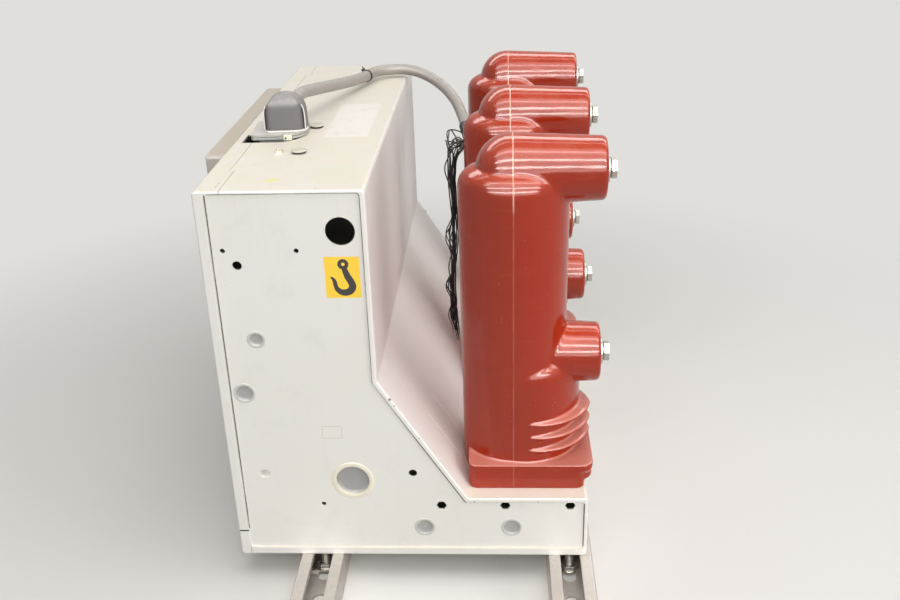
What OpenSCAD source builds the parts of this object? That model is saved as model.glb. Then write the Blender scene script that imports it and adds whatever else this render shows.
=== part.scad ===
// Gas insulated circuit breaker for a medium voltage panel, on two mounting rails.
// Millimetres. X runs across the poles, the operating front faces -Y, the terminals face +Y.
// The origin is on the floor under the middle of the breaker.

/* [Cabinet] */
// Width of the cabinet over its side panels
cab_w = 570; // [450:10:720]
// Height of the cabinet above the rails
cab_h = 426; // [400:2:470]
// Depth of the upper part of the cabinet
head_d = 165; // [130:5:190]
// Depth of the foot that carries the poles
foot_d = 384; // [360:2:420]
// Height of the foot
foot_h = 76; // [60:2:90]
// Height at which the back starts to slope out to the foot
bend_z = 220; // [190:5:260]
// Thickness of the sheet steel
sheet_t = 2.5; // [1.5:0.5:3]
// Radius of the folds along the long edges
fold_r = 4; // [3:0.5:6]
// Radius of the folds round the side panels
rim_fold_r = 2; // [1:0.5:2.5]
// Open seam between two neighbouring sheets
seam_gap = 0.6; // [0.3:0.1:1]

/* [Rims round the side panels] */
// Rim width along the bottom
rim_bottom = 9.5; // [6:0.5:12]
// Rim width at the back of the foot
rim_foot_back = 3.5; // [3:0.5:6]
// Rim width along the foot, the slope and the back
rim_back = 5; // [3:0.5:8]
// Rim width along the top
rim_top = 3; // [3:0.5:8]
// Width of the front panel's side flange
rim_front = 11; // [8:0.5:14]
// Width of the front panel's flange on the top
top_flange = 21.5; // [16:0.5:30]
// Extra width of that flange near the cabinet's sides
flange_step = 4.8; // [0:0.1:6]
// How far from the side the wider part of the flange reaches
flange_step_l = 65; // [40:1:90]
// Height of the bottom pan's flange at the back of the foot
pan_flange_h = 36; // [20:1:48]

/* [Holes in the side panels] */
// Diameter of the lifting hole
lift_hole_d = 29; // [24:1:36]
// Distance of the lifting hole from the front
lift_hole_y = 138.5; // [120:0.5:142]
// Distance of the lifting hole below the top
lift_hole_drop = 42.5; // [30:0.5:60]
// Across flats of the hexagon holes along the foot
hex_hole_af = 10; // [6:0.5:11]
// Distance of the hexagon holes below the top of the foot
hex_hole_drop = 11; // [10:0.5:16]
// Diameter of the large access cap
access_cap_d = 37; // [28:1:42]
// Outer diameter of the ring round the access cap
access_ring_d = 46; // [44:1:52]
// Diameter of the round hole plugs
plug_d = 23; // [16:1:26]
// Thickness of a plug's head on the panel
plug_head_t = 1.2; // [0.6:0.2:2]
// How much wider a plug's head is than its hole
plug_overlap = 4; // [2:0.5:6]

/* [Front cover] */
// Width of the mechanism cover
cover_w = 316; // [280:2:400]
// Height of the mechanism cover
cover_h = 350; // [300:2:380]
// How far the mechanism cover stands out
cover_out = 21; // [14:1:28]
// Distance of the cover's top edge below the cabinet's top
cover_drop = 2; // [1:0.5:20]
// Wall of the mechanism cover
cover_t = 2; // [1.5:0.5:3]
// Diameter of the push buttons
button_d = 22; // [16:1:28]
// How far a push button stands out of the cover
button_out = 1.5; // [0.5:0.5:8]

/* [Poles] */
// Distance between neighbouring poles
pole_pitch = 210; // [150:10:240]
// Radius of the two round bodies whose overlap is a pole's oval body
pole_r = 57.6; // [50:0.1:60]
// How far each of the two stands off the pole's middle
pole_squeeze = 8.1; // [2:0.1:12]
// How much narrower the body is at its foot
pole_draft = 1.5; // [0:0.5:3]
// Radius of the shoulder's edge
shoulder_r = 21; // [12:0.5:26]
// Height from the foot to the top of a pole's shoulder
shoulder_h = 350; // [330:2:360]
// Height from the foot to the lower terminal
lower_term_h = 139.75; // [130:0.25:150]
// Distance between the lower and the upper terminal
term_spacing = 205; // [190:1:230]
// Reach of the terminal arms from the pole's axis
arm_reach = 91.8; // [80:0.1:100]
// Radius of the upper arm where it leaves the body
upper_arm_root_r = 36.5; // [30:0.5:40]
// Radius of the upper arm at its end
upper_arm_tip_r = 32.2; // [26:0.1:34]
// How far the round front end of the upper arm is set forward from the pole's axis
dome_front = 2; // [0:0.5:4]
// Radius of the lower arm where it leaves the body
lower_arm_root_r = 35.5; // [28:0.5:38]
// Radius of the lower arm at its end
lower_arm_tip_r = 32; // [25:0.5:34]
// Radius of the two round bodies of the thicker lower part
skirt_r = 61.1; // [56:0.1:64]
// How far each of the two stands off the pole's middle
skirt_squeeze = 11.1; // [4:0.1:14]
// How far the thicker part is set back from the pole's axis
skirt_back = 11.8; // [4:0.1:15]
// Height of the thicker part above the foot
skirt_h = 122; // [100:2:126]
// Number of sheds at the back of the thicker part
shed_count = 3; // [1:1:4]
// Distance between neighbouring sheds
shed_pitch = 16.25; // [12:0.25:18]
// Height of the lowest shed above the foot
shed_first_h = 43.5; // [36:0.5:50]
// Radius of the two discs whose overlap is a shed
shed_r = 60; // [54:0.5:64]
// How far each of the two stands off the pole's middle
shed_squeeze = 8; // [2:0.5:12]
// How far the sheds are set back from the pole's axis
shed_back = 25.3; // [20:0.1:30]

/* [Pole bases] */
// Width of a pole's base across the cabinet
base_w = 112; // [100:2:130]
// Length of a pole's base, front to back
base_l = 135.1; // [120:0.1:140]
// Height of a pole's base
base_h = 29; // [22:1:34]
// Distance from the base's front edge to the pole's axis
base_front = 49.7; // [46:0.1:56]
// How far the base reaches past the back of the foot
base_over = 6.6; // [0:0.1:10]
// Radius of the base's upright corners
base_corner_r = 9; // [4:1:14]
// Radius of the rear corners of the two ribs round the base's back
base_rib_r = 13; // [8:1:18]
// How far the ribs stand out behind the base's block
base_rib_out = 9.2; // [4:0.2:12]
// Height of a rib
base_rib_h = 8; // [6:0.5:9]

/* [Terminals] */
// Diameter of a terminal's contact face
terminal_d = 36; // [32:1:40]
// How far a contact face stands out of its arm
terminal_out = 0.5; // [0.3:0.1:3]
// Depth of a contact piece in its arm
terminal_depth = 24; // [15:1:40]
// Diameter of the bolts in the terminals
bolt_d = 12; // [10:1:16]
// Across flats of the bolt heads
bolt_af = 19; // [17:1:24]
// Height of the bolt heads
bolt_head_h = 7.5; // [6:0.5:10]
// Diameter of the washers
washer_d = 29; // [24:1:30]
// Thickness of the washers
washer_t = 2.5; // [2:0.5:4]

/* [Top fittings] */
// Length of the connector's base plate across the cabinet
conn_base_l = 60; // [54:1:80]
// Width of the connector's base plate, front to back
conn_base_w = 60; // [54:1:64]
// Thickness of the connector's base plate
conn_base_t = 7; // [5:0.5:10]
// Near end of the base plate, from the cabinet's middle
conn_base_x = 112; // [106:1:116]
// Middle of the base plate's near end, from the cabinet's front
conn_base_y = 49.5; // [47:0.5:52]
// Turn of the connector on the top, in degrees
conn_turn = 4; // [2:0.5:6]
// Length of the connector hood across the cabinet
hood_l = 34; // [28:1:40]
// Width of the connector hood, front to back
hood_w = 46; // [40:1:48]
// Height of the connector hood
hood_h = 39.5; // [34:0.5:44]
// Distance of the hood from the near end of its base plate
hood_inset = 9; // [7:1:14]
// Diameter of the plugs in the top
top_plug_d = 17; // [12:1:18]

/* [Mounting rails] */
// Length of a rail
rail_l = 740; // [660:10:900]
// Width of a rail
rail_w = 49; // [41:1:55]
// Height of a rail
rail_h = 30; // [24:1:40]
// Wall of a rail
rail_t = 3; // [2:0.5:4]
// Width of a rail's open mouth
rail_mouth = 22; // [18:1:26]
// Depth of the lips beside the mouth
rail_lip_h = 7; // [5:0.5:10]
// Distance from the front of the cabinet to the middle of the front rail
front_rail_y = 91.7; // [60:0.1:120]
// Distance between the middles of the rails
rail_spacing = 274.5; // [240:0.5:280]
// Width of the slots in a rail
slot_w = 14; // [11:1:18]
// Length of the slots in a rail
slot_l = 28; // [22:1:34]
// Distance between neighbouring slots
slot_pitch = 50; // [45:1:60]
// Distance from the rail's middle to the slot next to it
slot_shift = 32; // [0:1:50]

/* [Hose and wires] */
// Outer diameter of the control hose
hose_d = 14; // [10:1:18]
// Diameter of the bundle of control wires
bundle_d = 9; // [6:1:14]
// Length of the sleeve on the end of the hose
sleeve_l = 24; // [16:1:30]
// Wall of the sleeve and the hose tie round the hose
sleeve_t = 1.2; // [0.8:0.2:2]

/* [Hidden] */

CREAM = [0.88, 0.86, 0.80];
GREY = [0.55, 0.54, 0.56];
RESIN = [0.55, 0.16, 0.11];
ZINC = [0.72, 0.73, 0.73];
COPPER = [0.80, 0.78, 0.74];
DARK = [0.12, 0.12, 0.12];
BEIGE = [0.80, 0.76, 0.66];

// Overlap of a cutter past the face it cuts
eps = 1;
// Room round a part that fills a hole
fit_gap = 0.2;

half_w = cab_w / 2;
slope_y = foot_d + base_over - base_l;
pole_y = slope_y + base_front;
arm_end_y = pole_y + arm_reach;
front_out = cover_out + button_out;
rear_out = arm_end_y + terminal_out + washer_t + bolt_head_h;
middle_y = (rear_out - front_out) / 2;
lower_z = foot_h + lower_term_h;
upper_z = lower_z + term_spacing;
rear_rail_y = front_rail_y + rail_spacing;
// Where the front panel's flange on the top gets wider, from the cabinet's middle
wide_from = half_w - flange_step_l;

// The corners of the cabinet's side outline, as [distance from the front, height]
outline = [
    [0, 0], [foot_d, 0], [foot_d, foot_h], [slope_y, foot_h],
    [head_d, bend_z], [head_d, cab_h], [0, cab_h]
];
rim_widths = [rim_bottom, rim_foot_back, rim_back, rim_back, rim_back, rim_top, rim_front + seam_gap];
wall_widths = [for (corner = outline) sheet_t];

// Plain round holes in a side panel, as [distance from the front, height, diameter]
round_holes = [
    [22.5, cab_h - 61.5, 5], [94.5, cab_h - 62, 5], [35, cab_h - 77, 9.5],
    [196.5, 107, 9], [97.5, 67, 5]
];
// A shallow round recess in the outer face of a side panel, and its share of the sheet
dimple_place = [37, 106];
dimple_d = 10.5;
dimple_share = 0.6;
// The relief slot across the front panel's side flange, above its lower corner
relief_z = 31;
relief_h = 2;
relief_y = 1;
// Plugged holes in a side panel, as [distance from the front, height, share of the full plug]
plugged_holes = [[45, 268, 0.83], [26, 206, 1], [207, foot_h / 2 - 1.5, 1], [302, foot_h / 2 - 1.5, 1]];
access_place = [131.5, 97.5];
hex_places = [226, 295, 365];
// Turn that lays two flats of a hexagon hole level
hex_turn = 30;

// The connector's middle, its opening in the top and the round plugs beside it
conn_middle = [
    conn_base_x - conn_base_l / 2 * cos(conn_turn),
    conn_base_y - conn_base_l / 2 * sin(conn_turn)
];
opening_x = [84, conn_base_x + 7];
opening_y = [10, conn_base_y + 23.5];
// Corner radii of the opening and of the base plate, whose near rear corner is round
opening_radii = [1.5, 1.5, 26, 1.5];
conn_base_radii = [5, 4, 26, 12];
top_plug_places = [[58, 83], [160, 81]];
square_place = [159, 60];
square_side = 9;

// The hood's far end on the base plate, from the connector's middle and the cabinet's top
hood_place = [conn_base_l / 2 - hood_inset - hood_l, (conn_base_w - hood_w) / 2, conn_base_t];
// Where the hose leaves the hood: past its far end, behind its middle and over the base plate
hose_exit = [-0.9, 4.2, 23.2];
hose_start = turned(hood_place + hose_exit, conn_turn) + [conn_middle.x, conn_middle.y, 0];
// The way from there to the hose's second point
hose_lead = [-17.4, 3.2, 2.4];
// The rest of the hose up to its sleeve, drawn from the cabinet's front and top
hose_route = [
    [29, 65, 33.8], [6, 72.5, 31.5], [-34, 83.5, 26], [-84, 95.5, 19], [-124, 107, 14.5],
    [-157, 115.5, 12], [-185, 125, 11.5], [-198, 143, 11], [-201, 163, 10.5], [-195, 184, 7],
    [-182, 205, -1], [-165, 222, -11], [-145, 235, -23], [-124, 244, -38], [-103, 250, -51]
];
hose_points = [for (point = concat([hose_start, hose_start + hose_lead], hose_route))
    point + [0, -middle_y, rail_h + cab_h]];
hose_end = hose_points[len(hose_points) - 1];
hose_way = unit(hose_end - hose_points[len(hose_points) - 2]);
// The bundle of wires, from the sleeve to the slope, drawn from the cabinet's front and bottom
bundle_route = [
    [-66, 255, 366], [-53, 250, 374], [-41, 243, 380], [-30, 238, 378], [-23, 236, 365],
    [-19, 235, 340], [-15, 236, 310], [-12, 237, 275], [-9, 236, 240], [-8, 234, 207],
    [-9, 233, 175], [-12, 234, 145], [-16, 237, 119]
];
bundle_points = concat([hose_end + hose_way * sleeve_l],
    [for (point = bundle_route) point + [0, -middle_y, rail_h]]);
// The hose point that the tie sits on
tie_step = 7;

function unit(v) = v / norm(v);

// A point turned round the upright axis
function turned(v, angle) =
    [v.x * cos(angle) - v.y * sin(angle), v.x * sin(angle) + v.y * cos(angle), v.z];

// The corner at b of a polygon whose edges move inwards by d1 before b and d2 after it
function inset_corner(a, b, c, d1, d2) =
    let (
        u1 = unit(b - a),
        u2 = unit(c - b),
        p1 = b + [-u1.y, u1.x] * d1,
        p2 = b + [-u2.y, u2.x] * d2,
        along = cross(p2 - p1, u2) / cross(u1, u2)
    )
    p1 + u1 * along;

// A polygon whose edges all move inwards, each by its own width
function inset(path, widths) =
    let (n = len(path))
    [for (i = [0:n - 1])
        inset_corner(path[(i + n - 1) % n], path[i], path[(i + 1) % n],
            widths[(i + n - 1) % n], widths[i])];

// The arc that rounds the corner b between a and c
function arc_corner(a, b, c, r, steps) =
    let (
        u1 = unit(a - b),
        u2 = unit(c - b),
        half = acos(u1 * u2) / 2,
        centre = b + unit(u1 + u2) * r / sin(half),
        first = b + u1 * r / tan(half) - centre,
        last = b + u2 * r / tan(half) - centre,
        start = atan2(first.y, first.x),
        turn = (atan2(last.y, last.x) - start + 540) % 360 - 180
    )
    [for (k = [0:steps])
        centre + r * [cos(start + turn * k / steps), sin(start + turn * k / steps)]];

// A polygon with its corners rounded to one radius, or each to its own from a list
function rounded(path, r, steps = 4) =
    let (n = len(path))
    [for (i = [0:n - 1])
        each arc_corner(path[(i + n - 1) % n], path[i], path[(i + 1) % n],
            is_list(r) ? r[i] : r, steps)];

function rectangle(x0, x1, y0, y1) = [[x0, y0], [x1, y0], [x1, y1], [x0, y1]];

// A point on the smooth curve through a cord's points, at step i + t
function curve_point(points, i, t) =
    let (
        last = len(points) - 1,
        a = points[max(i - 1, 0)],
        b = points[i],
        c = points[min(i + 1, last)],
        d = points[min(i + 2, last)]
    )
    0.5 * ((2 * b) + (c - a) * t + (2 * a - 5 * b + 4 * c - d) * t * t
        + (3 * b - a - 3 * c + d) * t * t * t);

function curve(points, steps) =
    [for (i = [0:len(points) - 2], k = [0:steps - 1]) curve_point(points, i, k / steps),
        points[len(points) - 1]];

function heading(path, i) = unit(path[min(i + 1, len(path) - 1)] - path[max(i - 1, 0)]);

// Places a piece that is drawn from the cabinet's front and bottom in the part's own frame
module placed() translate([0, -middle_y, rail_h]) children();

// Extrudes an outline of [y, z] points across the cabinet
module across(x0, x1) translate([x0, 0, 0]) rotate([90, 0, 90]) linear_extrude(x1 - x0) children();

// A round tube along a cord's smooth curve
module swept(points, d, sides, steps, upright) {
    path = curve(points, steps);
    n = len(path);
    rings = [for (i = [0:n - 1])
        let (
            ahead = heading(path, i),
            side = unit(cross(ahead, upright)),
            top = cross(side, ahead)
        )
        for (k = [0:sides - 1])
            path[i] + (side * cos(360 * k / sides) + top * sin(360 * k / sides)) * d / 2];
    walls = [for (i = [0:n - 2], k = [0:sides - 1])
        let (next = (k + 1) % sides)
        [i * sides + k, i * sides + next, (i + 1) * sides + next, (i + 1) * sides + k]];
    near_end = [for (k = [0:sides - 1]) sides - 1 - k];
    far_end = [for (k = [0:sides - 1]) (n - 1) * sides + k];
    polyhedron(rings, concat(walls, [near_end, far_end]), convexity = 6);
}

// The cabinet's sheet steel skin with its side rims, before it is cut into sheets: rings of the
// side outline that run along the outside, round the folded edge, in along the rim and back inside
module cabinet_skin() {
    steps = 3;
    folds = [for (k = [0:steps])
        [half_w - rim_fold_r * (1 - sin(90 * k / steps)), rim_fold_r * (1 - cos(90 * k / steps))]];
    outer = [for (fold = folds)
        [fold[0], rounded(inset(outline, [for (corner = outline) fold[1]]), fold_r - fold[1], steps)]];
    rim = rounded(inset(outline, rim_widths), 3, steps);
    wall = rounded(inset(outline, wall_widths), fold_r - sheet_t + 0.5, steps);
    right = concat(outer, [[half_w, rim], [half_w - sheet_t, rim], [half_w - sheet_t, wall]]);
    levels = concat(right, [for (k = [len(right) - 1:-1:0]) [-right[k][0], right[k][1]]]);
    n = len(rim);
    points = [for (level = levels, p = level[1]) [level[0], p[0], p[1]]];
    walls = [for (i = [0:len(levels) - 1], k = [0:n - 1])
        let (next = (k + 1) % n, after = (i + 1) % len(levels))
        [i * n + k, after * n + k, after * n + next, i * n + next]];
    polyhedron(points, walls, convexity = 8);
}

// The part of the skin inside a region of [y, z] points
module sheet_in(region) {
    intersection() {
        cabinet_skin();
        across(-half_w - eps, half_w + eps) polygon(region);
    }
}

// The connector's opening, cut down through the top
module top_opening() {
    translate([0, 0, cab_h - 3 * sheet_t]) linear_extrude(5 * sheet_t) polygon(rounded(
        rectangle(opening_x[0], opening_x[1], opening_y[0], opening_y[1]), opening_radii, 5));
}

// A box round the top's sheet, from x0 to x1 and y0 to y1
module top_region(x0, x1, y0, y1) {
    translate([x0, y0, cab_h - 3 * sheet_t]) cube([x1 - x0, y1 - y0, 5 * sheet_t]);
}

module front_panel() color(CREAM) placed() difference() {
    sheet_in([
        [-eps, -eps], [rim_front, -eps], [rim_front, cab_h - rim_top - eps],
        [top_flange + flange_step, cab_h - rim_top - eps], [top_flange + flange_step, cab_h + eps],
        [-eps, cab_h + eps]
    ]);
    top_region(-wide_from, wide_from, top_flange, top_flange + flange_step + eps);
    top_opening();
    for (side = [1, -1]) on_side(side)
        translate([half_w - 2 * sheet_t, relief_y, relief_z]) cube([3 * sheet_t, rim_front, relief_h]);
}

module top_panel() color(CREAM) placed() difference() {
    sheet_in(rectangle(top_flange + seam_gap, head_d + eps, cab_h - 2 * fold_r, cab_h + eps));
    for (x0 = [-half_w - eps, wide_from - seam_gap])
        top_region(x0, x0 + flange_step_l + seam_gap + eps, top_flange, top_flange + flange_step + seam_gap);
    top_opening();
    for (place = top_plug_places)
        translate([place.x, place.y, cab_h - 3 * sheet_t])
            cylinder(d = top_plug_d - plug_overlap, h = 5 * sheet_t, $fn = 48);
}

module rear_panel() color(CREAM) placed() sheet_in([
    [foot_d - 2 * rim_back, pan_flange_h + seam_gap], [foot_d + eps, pan_flange_h + seam_gap],
    [foot_d + eps, foot_h + 2 * eps], [head_d + eps, cab_h - 2 * fold_r],
    [head_d - 2 * rim_back, cab_h - 2 * fold_r], [head_d - 2 * rim_back, bend_z - 2 * rim_back],
    [slope_y - 2 * rim_back, foot_h - 2 * rim_back], [foot_d - 2 * rim_back, foot_h - 2 * rim_back]
]);

module bottom_pan() color(CREAM) placed() sheet_in([
    [rim_front + seam_gap, -eps], [foot_d + eps, -eps], [foot_d + eps, pan_flange_h],
    [foot_d - 2 * rim_back, pan_flange_h], [foot_d - 2 * rim_back, rim_bottom + eps],
    [rim_front + seam_gap, rim_bottom + eps]
]);

// A side panel behind the rims, with its holes; side is 1 on the right and -1 on the left
module side_panel(side) color(CREAM) placed() on_side(side) difference() {
    across(half_w - 2 * sheet_t, half_w - sheet_t) polygon(inset(outline, wall_widths));
    side_hole(lift_hole_y, cab_h - lift_hole_drop, lift_hole_d, 96);
    for (hole = round_holes) side_hole(hole[0], hole[1], hole[2], 32);
    for (plug = plugged_holes) side_hole(plug[0], plug[1], plug_d * plug[2] - plug_overlap, 48);
    side_hole(access_place[0], access_place[1], access_cap_d, 64);
    translate([half_w - (1 + dimple_share) * sheet_t, dimple_place[0], dimple_place[1]])
        rotate([0, 90, 0]) cylinder(d = dimple_d, h = 2 * sheet_t, $fn = 48);
    for (y = hex_places) side_hole(y, foot_h - hex_hole_drop, hex_hole_af / cos(30), 6, hex_turn);
}

// Turns a piece drawn on the right side into its mirror image for the left side
module on_side(side) mirror([side < 0 ? 1 : 0, 0, 0]) children();

module side_hole(y, z, d, fn, turn = 0) {
    translate([half_w - 3 * sheet_t, y, z]) rotate([0, 90, 0]) rotate(turn)
        cylinder(d = d, h = 5 * sheet_t, $fn = fn);
}

// A low domed disc on a panel's outer face, facing +Z
module domed_disc(d, h) {
    rotate_extrude($fn = 64)
        polygon([[0, 0], [d / 2, 0], [d / 2, h * 0.35], [d / 2 - h * 0.6, h * 0.8], [d / 4, h], [0, h]]);
}

module hole_plugs(side) color(BEIGE) placed() on_side(side) {
    for (plug = plugged_holes)
        translate([half_w - sheet_t, plug[0], plug[1]]) rotate([0, 90, 0]) {
            domed_disc(plug_d * plug[2], plug_head_t);
            translate([0, 0, -sheet_t - 1])
                cylinder(d = plug_d * plug[2] - plug_overlap - 2 * fit_gap, h = sheet_t + 1, $fn = 48);
        }
}

module access_ring(side) color(BEIGE) placed() on_side(side)
    translate([half_w - sheet_t, access_place[0], access_place[1]]) rotate([0, 90, 0]) difference() {
        domed_disc(access_ring_d, plug_head_t);
        translate([0, 0, -eps]) cylinder(d = access_cap_d - 1, h = plug_head_t + 2 * eps, $fn = 64);
    }

module access_cap(side) color(GREY) placed() on_side(side)
    translate([half_w - 2 * sheet_t, access_place[0], access_place[1]]) rotate([0, 90, 0])
        cylinder(d = access_cap_d - 2 * fit_gap, h = sheet_t, $fn = 64);

// Places a piece on the front, x from the middle and z from the cabinet's bottom, facing +Z out
module on_front(x, z, out) translate([x, -out, z]) rotate([90, 0, 0]) children();

cover_top = cab_h - cover_drop;
cover_foot = cover_top - cover_h;
button_x = 96;
window_x = 96;
window_w = 46;
window_h = 20;
socket_x = -96;
// Distances of the windows, the buttons and the crank socket below the cover's top
window_drops = [60, 96, 130];
button_drops = [176, 226];
socket_drop = 200;
position_z = cover_top - window_drops[0];
spring_z = cover_top - window_drops[1];
counter_z = cover_top - window_drops[2];
on_button_z = cover_top - button_drops[0];
off_button_z = cover_top - button_drops[1];
socket_z = cover_top - socket_drop;
socket_d = 30;
// Width of the crank's hexagon hole over its corners
crank_d = 17;

module cover_outline(inset_by) {
    polygon(rounded(rectangle(-cover_w / 2 + inset_by, cover_w / 2 - inset_by,
        cover_foot + inset_by, cover_top - inset_by), 5 - inset_by, 4));
}

module mechanism_cover() color(GREY) placed() difference() {
    hull() {
        on_front(0, 0, 0) linear_extrude(cover_out - 3) cover_outline(0);
        on_front(0, 0, 0) linear_extrude(cover_out - 1) cover_outline(0.8);
        on_front(0, 0, 0) linear_extrude(cover_out) cover_outline(3);
    }
    on_front(0, 0, -eps) linear_extrude(cover_out - cover_t + eps) cover_outline(cover_t);
    for (z = [on_button_z, off_button_z])
        on_front(button_x, z, 0) cylinder(d = button_d + 2 * fit_gap, h = 2 * cover_out, $fn = 64);
    for (z = [position_z, spring_z, counter_z])
        on_front(window_x, z, 0) translate([-window_w / 2, -window_h / 2, 0])
            cube([window_w, window_h, 2 * cover_out]);
    on_front(socket_x, socket_z, 0) cylinder(d = socket_d + 2 * fit_gap, h = 2 * cover_out, $fn = 64);
}

module push_button(z, tint) color(tint) placed()
    on_front(button_x, z, 0) rotate_extrude($fn = 64) polygon([
        [0, 0], [button_d / 2, 0], [button_d / 2, cover_out + button_out - 1.5],
        [button_d / 2 - 1.5, cover_out + button_out], [0, cover_out + button_out]
    ]);

// A window pane that fills its hole in the cover, a little below the cover's face
module window_pane(z) color(DARK) placed()
    on_front(window_x, z, 0)
        translate([-window_w / 2 + fit_gap, -window_h / 2 + fit_gap, 0])
            cube([window_w - 2 * fit_gap, window_h - 2 * fit_gap, cover_out - 0.8]);

module charging_socket() color(ZINC) placed() difference() {
    on_front(socket_x, socket_z, 0) cylinder(d = socket_d, h = cover_out, $fn = 64);
    on_front(socket_x, socket_z, -cover_t) cylinder(d = crank_d, h = 2 * cover_out, $fn = 6);
}

// Height of the neck under the head of a plug in the top, and of the head
plug_neck_h = 1;
top_plug_head_t = 2.6;

module top_plugs() color(BEIGE) placed() {
    for (place = top_plug_places) translate([place.x, place.y, cab_h]) {
        translate([0, 0, plug_neck_h]) domed_disc(top_plug_d, top_plug_head_t);
        cylinder(d = top_plug_d - 3, h = plug_neck_h, $fn = 48);
        translate([0, 0, -sheet_t - 1])
            cylinder(d = top_plug_d - plug_overlap - 2 * fit_gap, h = sheet_t + 1, $fn = 48);
    }
}

module square_fitting() color(ZINC) placed()
    translate([square_place.x - square_side / 2, square_place.y - square_side / 2, cab_h])
        cube([square_side, square_side, 3]);

// Places a piece of the connector, drawn round its own middle and up from the cabinet's top
module on_connector() placed() translate([conn_middle.x, conn_middle.y, cab_h]) rotate(conn_turn) children();

// The base plate's outline, moved inwards on all sides
module base_outline(inset_by) {
    polygon(rounded(rectangle(inset_by - conn_base_l / 2, conn_base_l / 2 - inset_by,
        inset_by - conn_base_w / 2, conn_base_w / 2 - inset_by),
        [for (r = conn_base_radii) r - inset_by], 6));
}

// The two layers of the base plate stand off the top and off each other by a narrow groove
base_foot_t = 1;
base_groove_z = 3.4;
base_groove_t = 0.8;
// The connector's body under its base plate, in the opening, and where it begins
conn_body = [18, 38, 12];
conn_body_x = 6;
conn_body_y = -22;
// Width of the latch and its distance from the base plate's middle
latch_w = 9;
latch_y = 6;

module connector_base() color(GREY) on_connector() difference() {
    union() {
        linear_extrude(conn_base_t - eps) base_outline(2);
        translate([0, 0, base_foot_t]) linear_extrude(base_groove_z - base_foot_t) base_outline(0);
        translate([0, 0, base_groove_z + base_groove_t])
            linear_extrude(conn_base_t - base_groove_z - base_groove_t) base_outline(0);
        translate([conn_body_x, conn_body_y, -conn_body.z])
            cube([conn_body.x, conn_body.y, conn_body.z + eps]);
    }
    translate([conn_base_l / 2 - 3 - fit_gap, latch_y - fit_gap, -eps])
        cube([4 + fit_gap, latch_w + 2 * fit_gap, conn_base_t + 2 * eps]);
}

// The hood's end outline: upright sides under a round crown
module hood_outline() {
    crown_r = hood_w / 2 - 1;
    polygon(concat(
        [[-hood_w / 2, 0], [hood_w / 2, 0]],
        [for (a = [0:9:180]) [crown_r * cos(a), hood_h - crown_r + crown_r * sin(a)]]
    ));
}

// A slot on each side of the hood's near face, its height above the base plate and the wall outside it
hood_slot = [5, 1.4, 23];
hood_slot_z = 3.5;
hood_wall = 1.4;
// Corner radii of the hood, seen from the side and from above
hood_side_radii = [0.5, 0.5, 13, 8];
hood_plan_radii = [6, 9, 11, 6];
// The collar that holds the hose in the hood's far end
gland_d = 19;
gland_out = 5;

module connector_hood() color(GREY) difference() {
    union() {
        on_connector()
            translate(hood_place)
                difference() {
                    hood_body();
                    for (side = [-1, 1])
                        translate([hood_l - hood_slot.x, side * (hood_w / 2 - hood_wall - hood_slot.y / 2)
                            - hood_slot.y / 2, hood_slot_z])
                            cube([hood_slot.x + eps, hood_slot.y, hood_slot.z]);
                }
        along_line(hose_points[0], hose_points[1])
            translate([0, 0, -gland_out]) cylinder(d = gland_d, h = 2 * gland_out, $fn = 48);
    }
    along_line(hose_points[0], hose_points[1])
        translate([0, 0, -fit_gap]) cylinder(d = hose_d + 2 * fit_gap, h = 2 * gland_out, $fn = 48);
}

// The hood where its end, side and top outlines overlap, with a well rounded near top edge
module hood_body() {
    intersection() {
        rotate([90, 0, 90]) linear_extrude(hood_l) hood_outline();
        translate([0, hood_w, 0]) rotate([90, 0, 0]) linear_extrude(2 * hood_w) polygon(rounded(
            rectangle(0, hood_l, 0, hood_h), hood_side_radii, 7));
        linear_extrude(hood_h) polygon(rounded(
            rectangle(0, hood_l, -hood_w / 2, hood_w / 2), hood_plan_radii, 6));
    }
}

module hood_latch() color(GREY) on_connector()
    translate([conn_base_l / 2 - 3, latch_y, 0.5]) cube([6, latch_w, conn_base_t - 1]);

module control_hose() color(GREY) swept(hose_points, hose_d, 10, 2, [0, 0, 1]);

// Turns +Z onto the line from a to b
module along_line(a, b) {
    way = b - a;
    translate(a) rotate([0, acos(way.z / norm(way)), atan2(way.y, way.x)]) children();
}

module hose_sleeve() color(DARK) along_line(hose_end, hose_end + hose_way) difference() {
    translate([0, 0, -sleeve_l / 2])
        cylinder(d = hose_d + 2 * (sleeve_t + fit_gap), h = sleeve_l * 1.5, $fn = 32);
    translate([0, 0, -sleeve_l]) cylinder(d = hose_d + 2 * fit_gap, h = sleeve_l + fit_gap, $fn = 32);
}

module hose_tie() color(DARK)
    translate(hose_points[tie_step])
        along_line([0, 0, 0], hose_points[tie_step + 1] - hose_points[tie_step - 1]) difference() {
            translate([0, 0, -2.3]) cylinder(d = hose_d + 2 * (sleeve_t + fit_gap), h = 4.6, $fn = 32);
            translate([0, 0, -4]) cylinder(d = hose_d + 2 * fit_gap, h = 8, $fn = 32);
        }

module wire_bundle() color(DARK) swept(bundle_points, bundle_d, 8, 2, [0, 1, 0]);

// Narrows a round body to an oval: the overlap of two copies that stand apart in x
module oval(squeeze) {
    intersection() {
        translate([-squeeze, 0, 0]) children();
        translate([squeeze, 0, 0]) children();
    }
}

// The rounding at the top of the skirt, as [radius, height]
skirt_edge = [16, 22];

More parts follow.
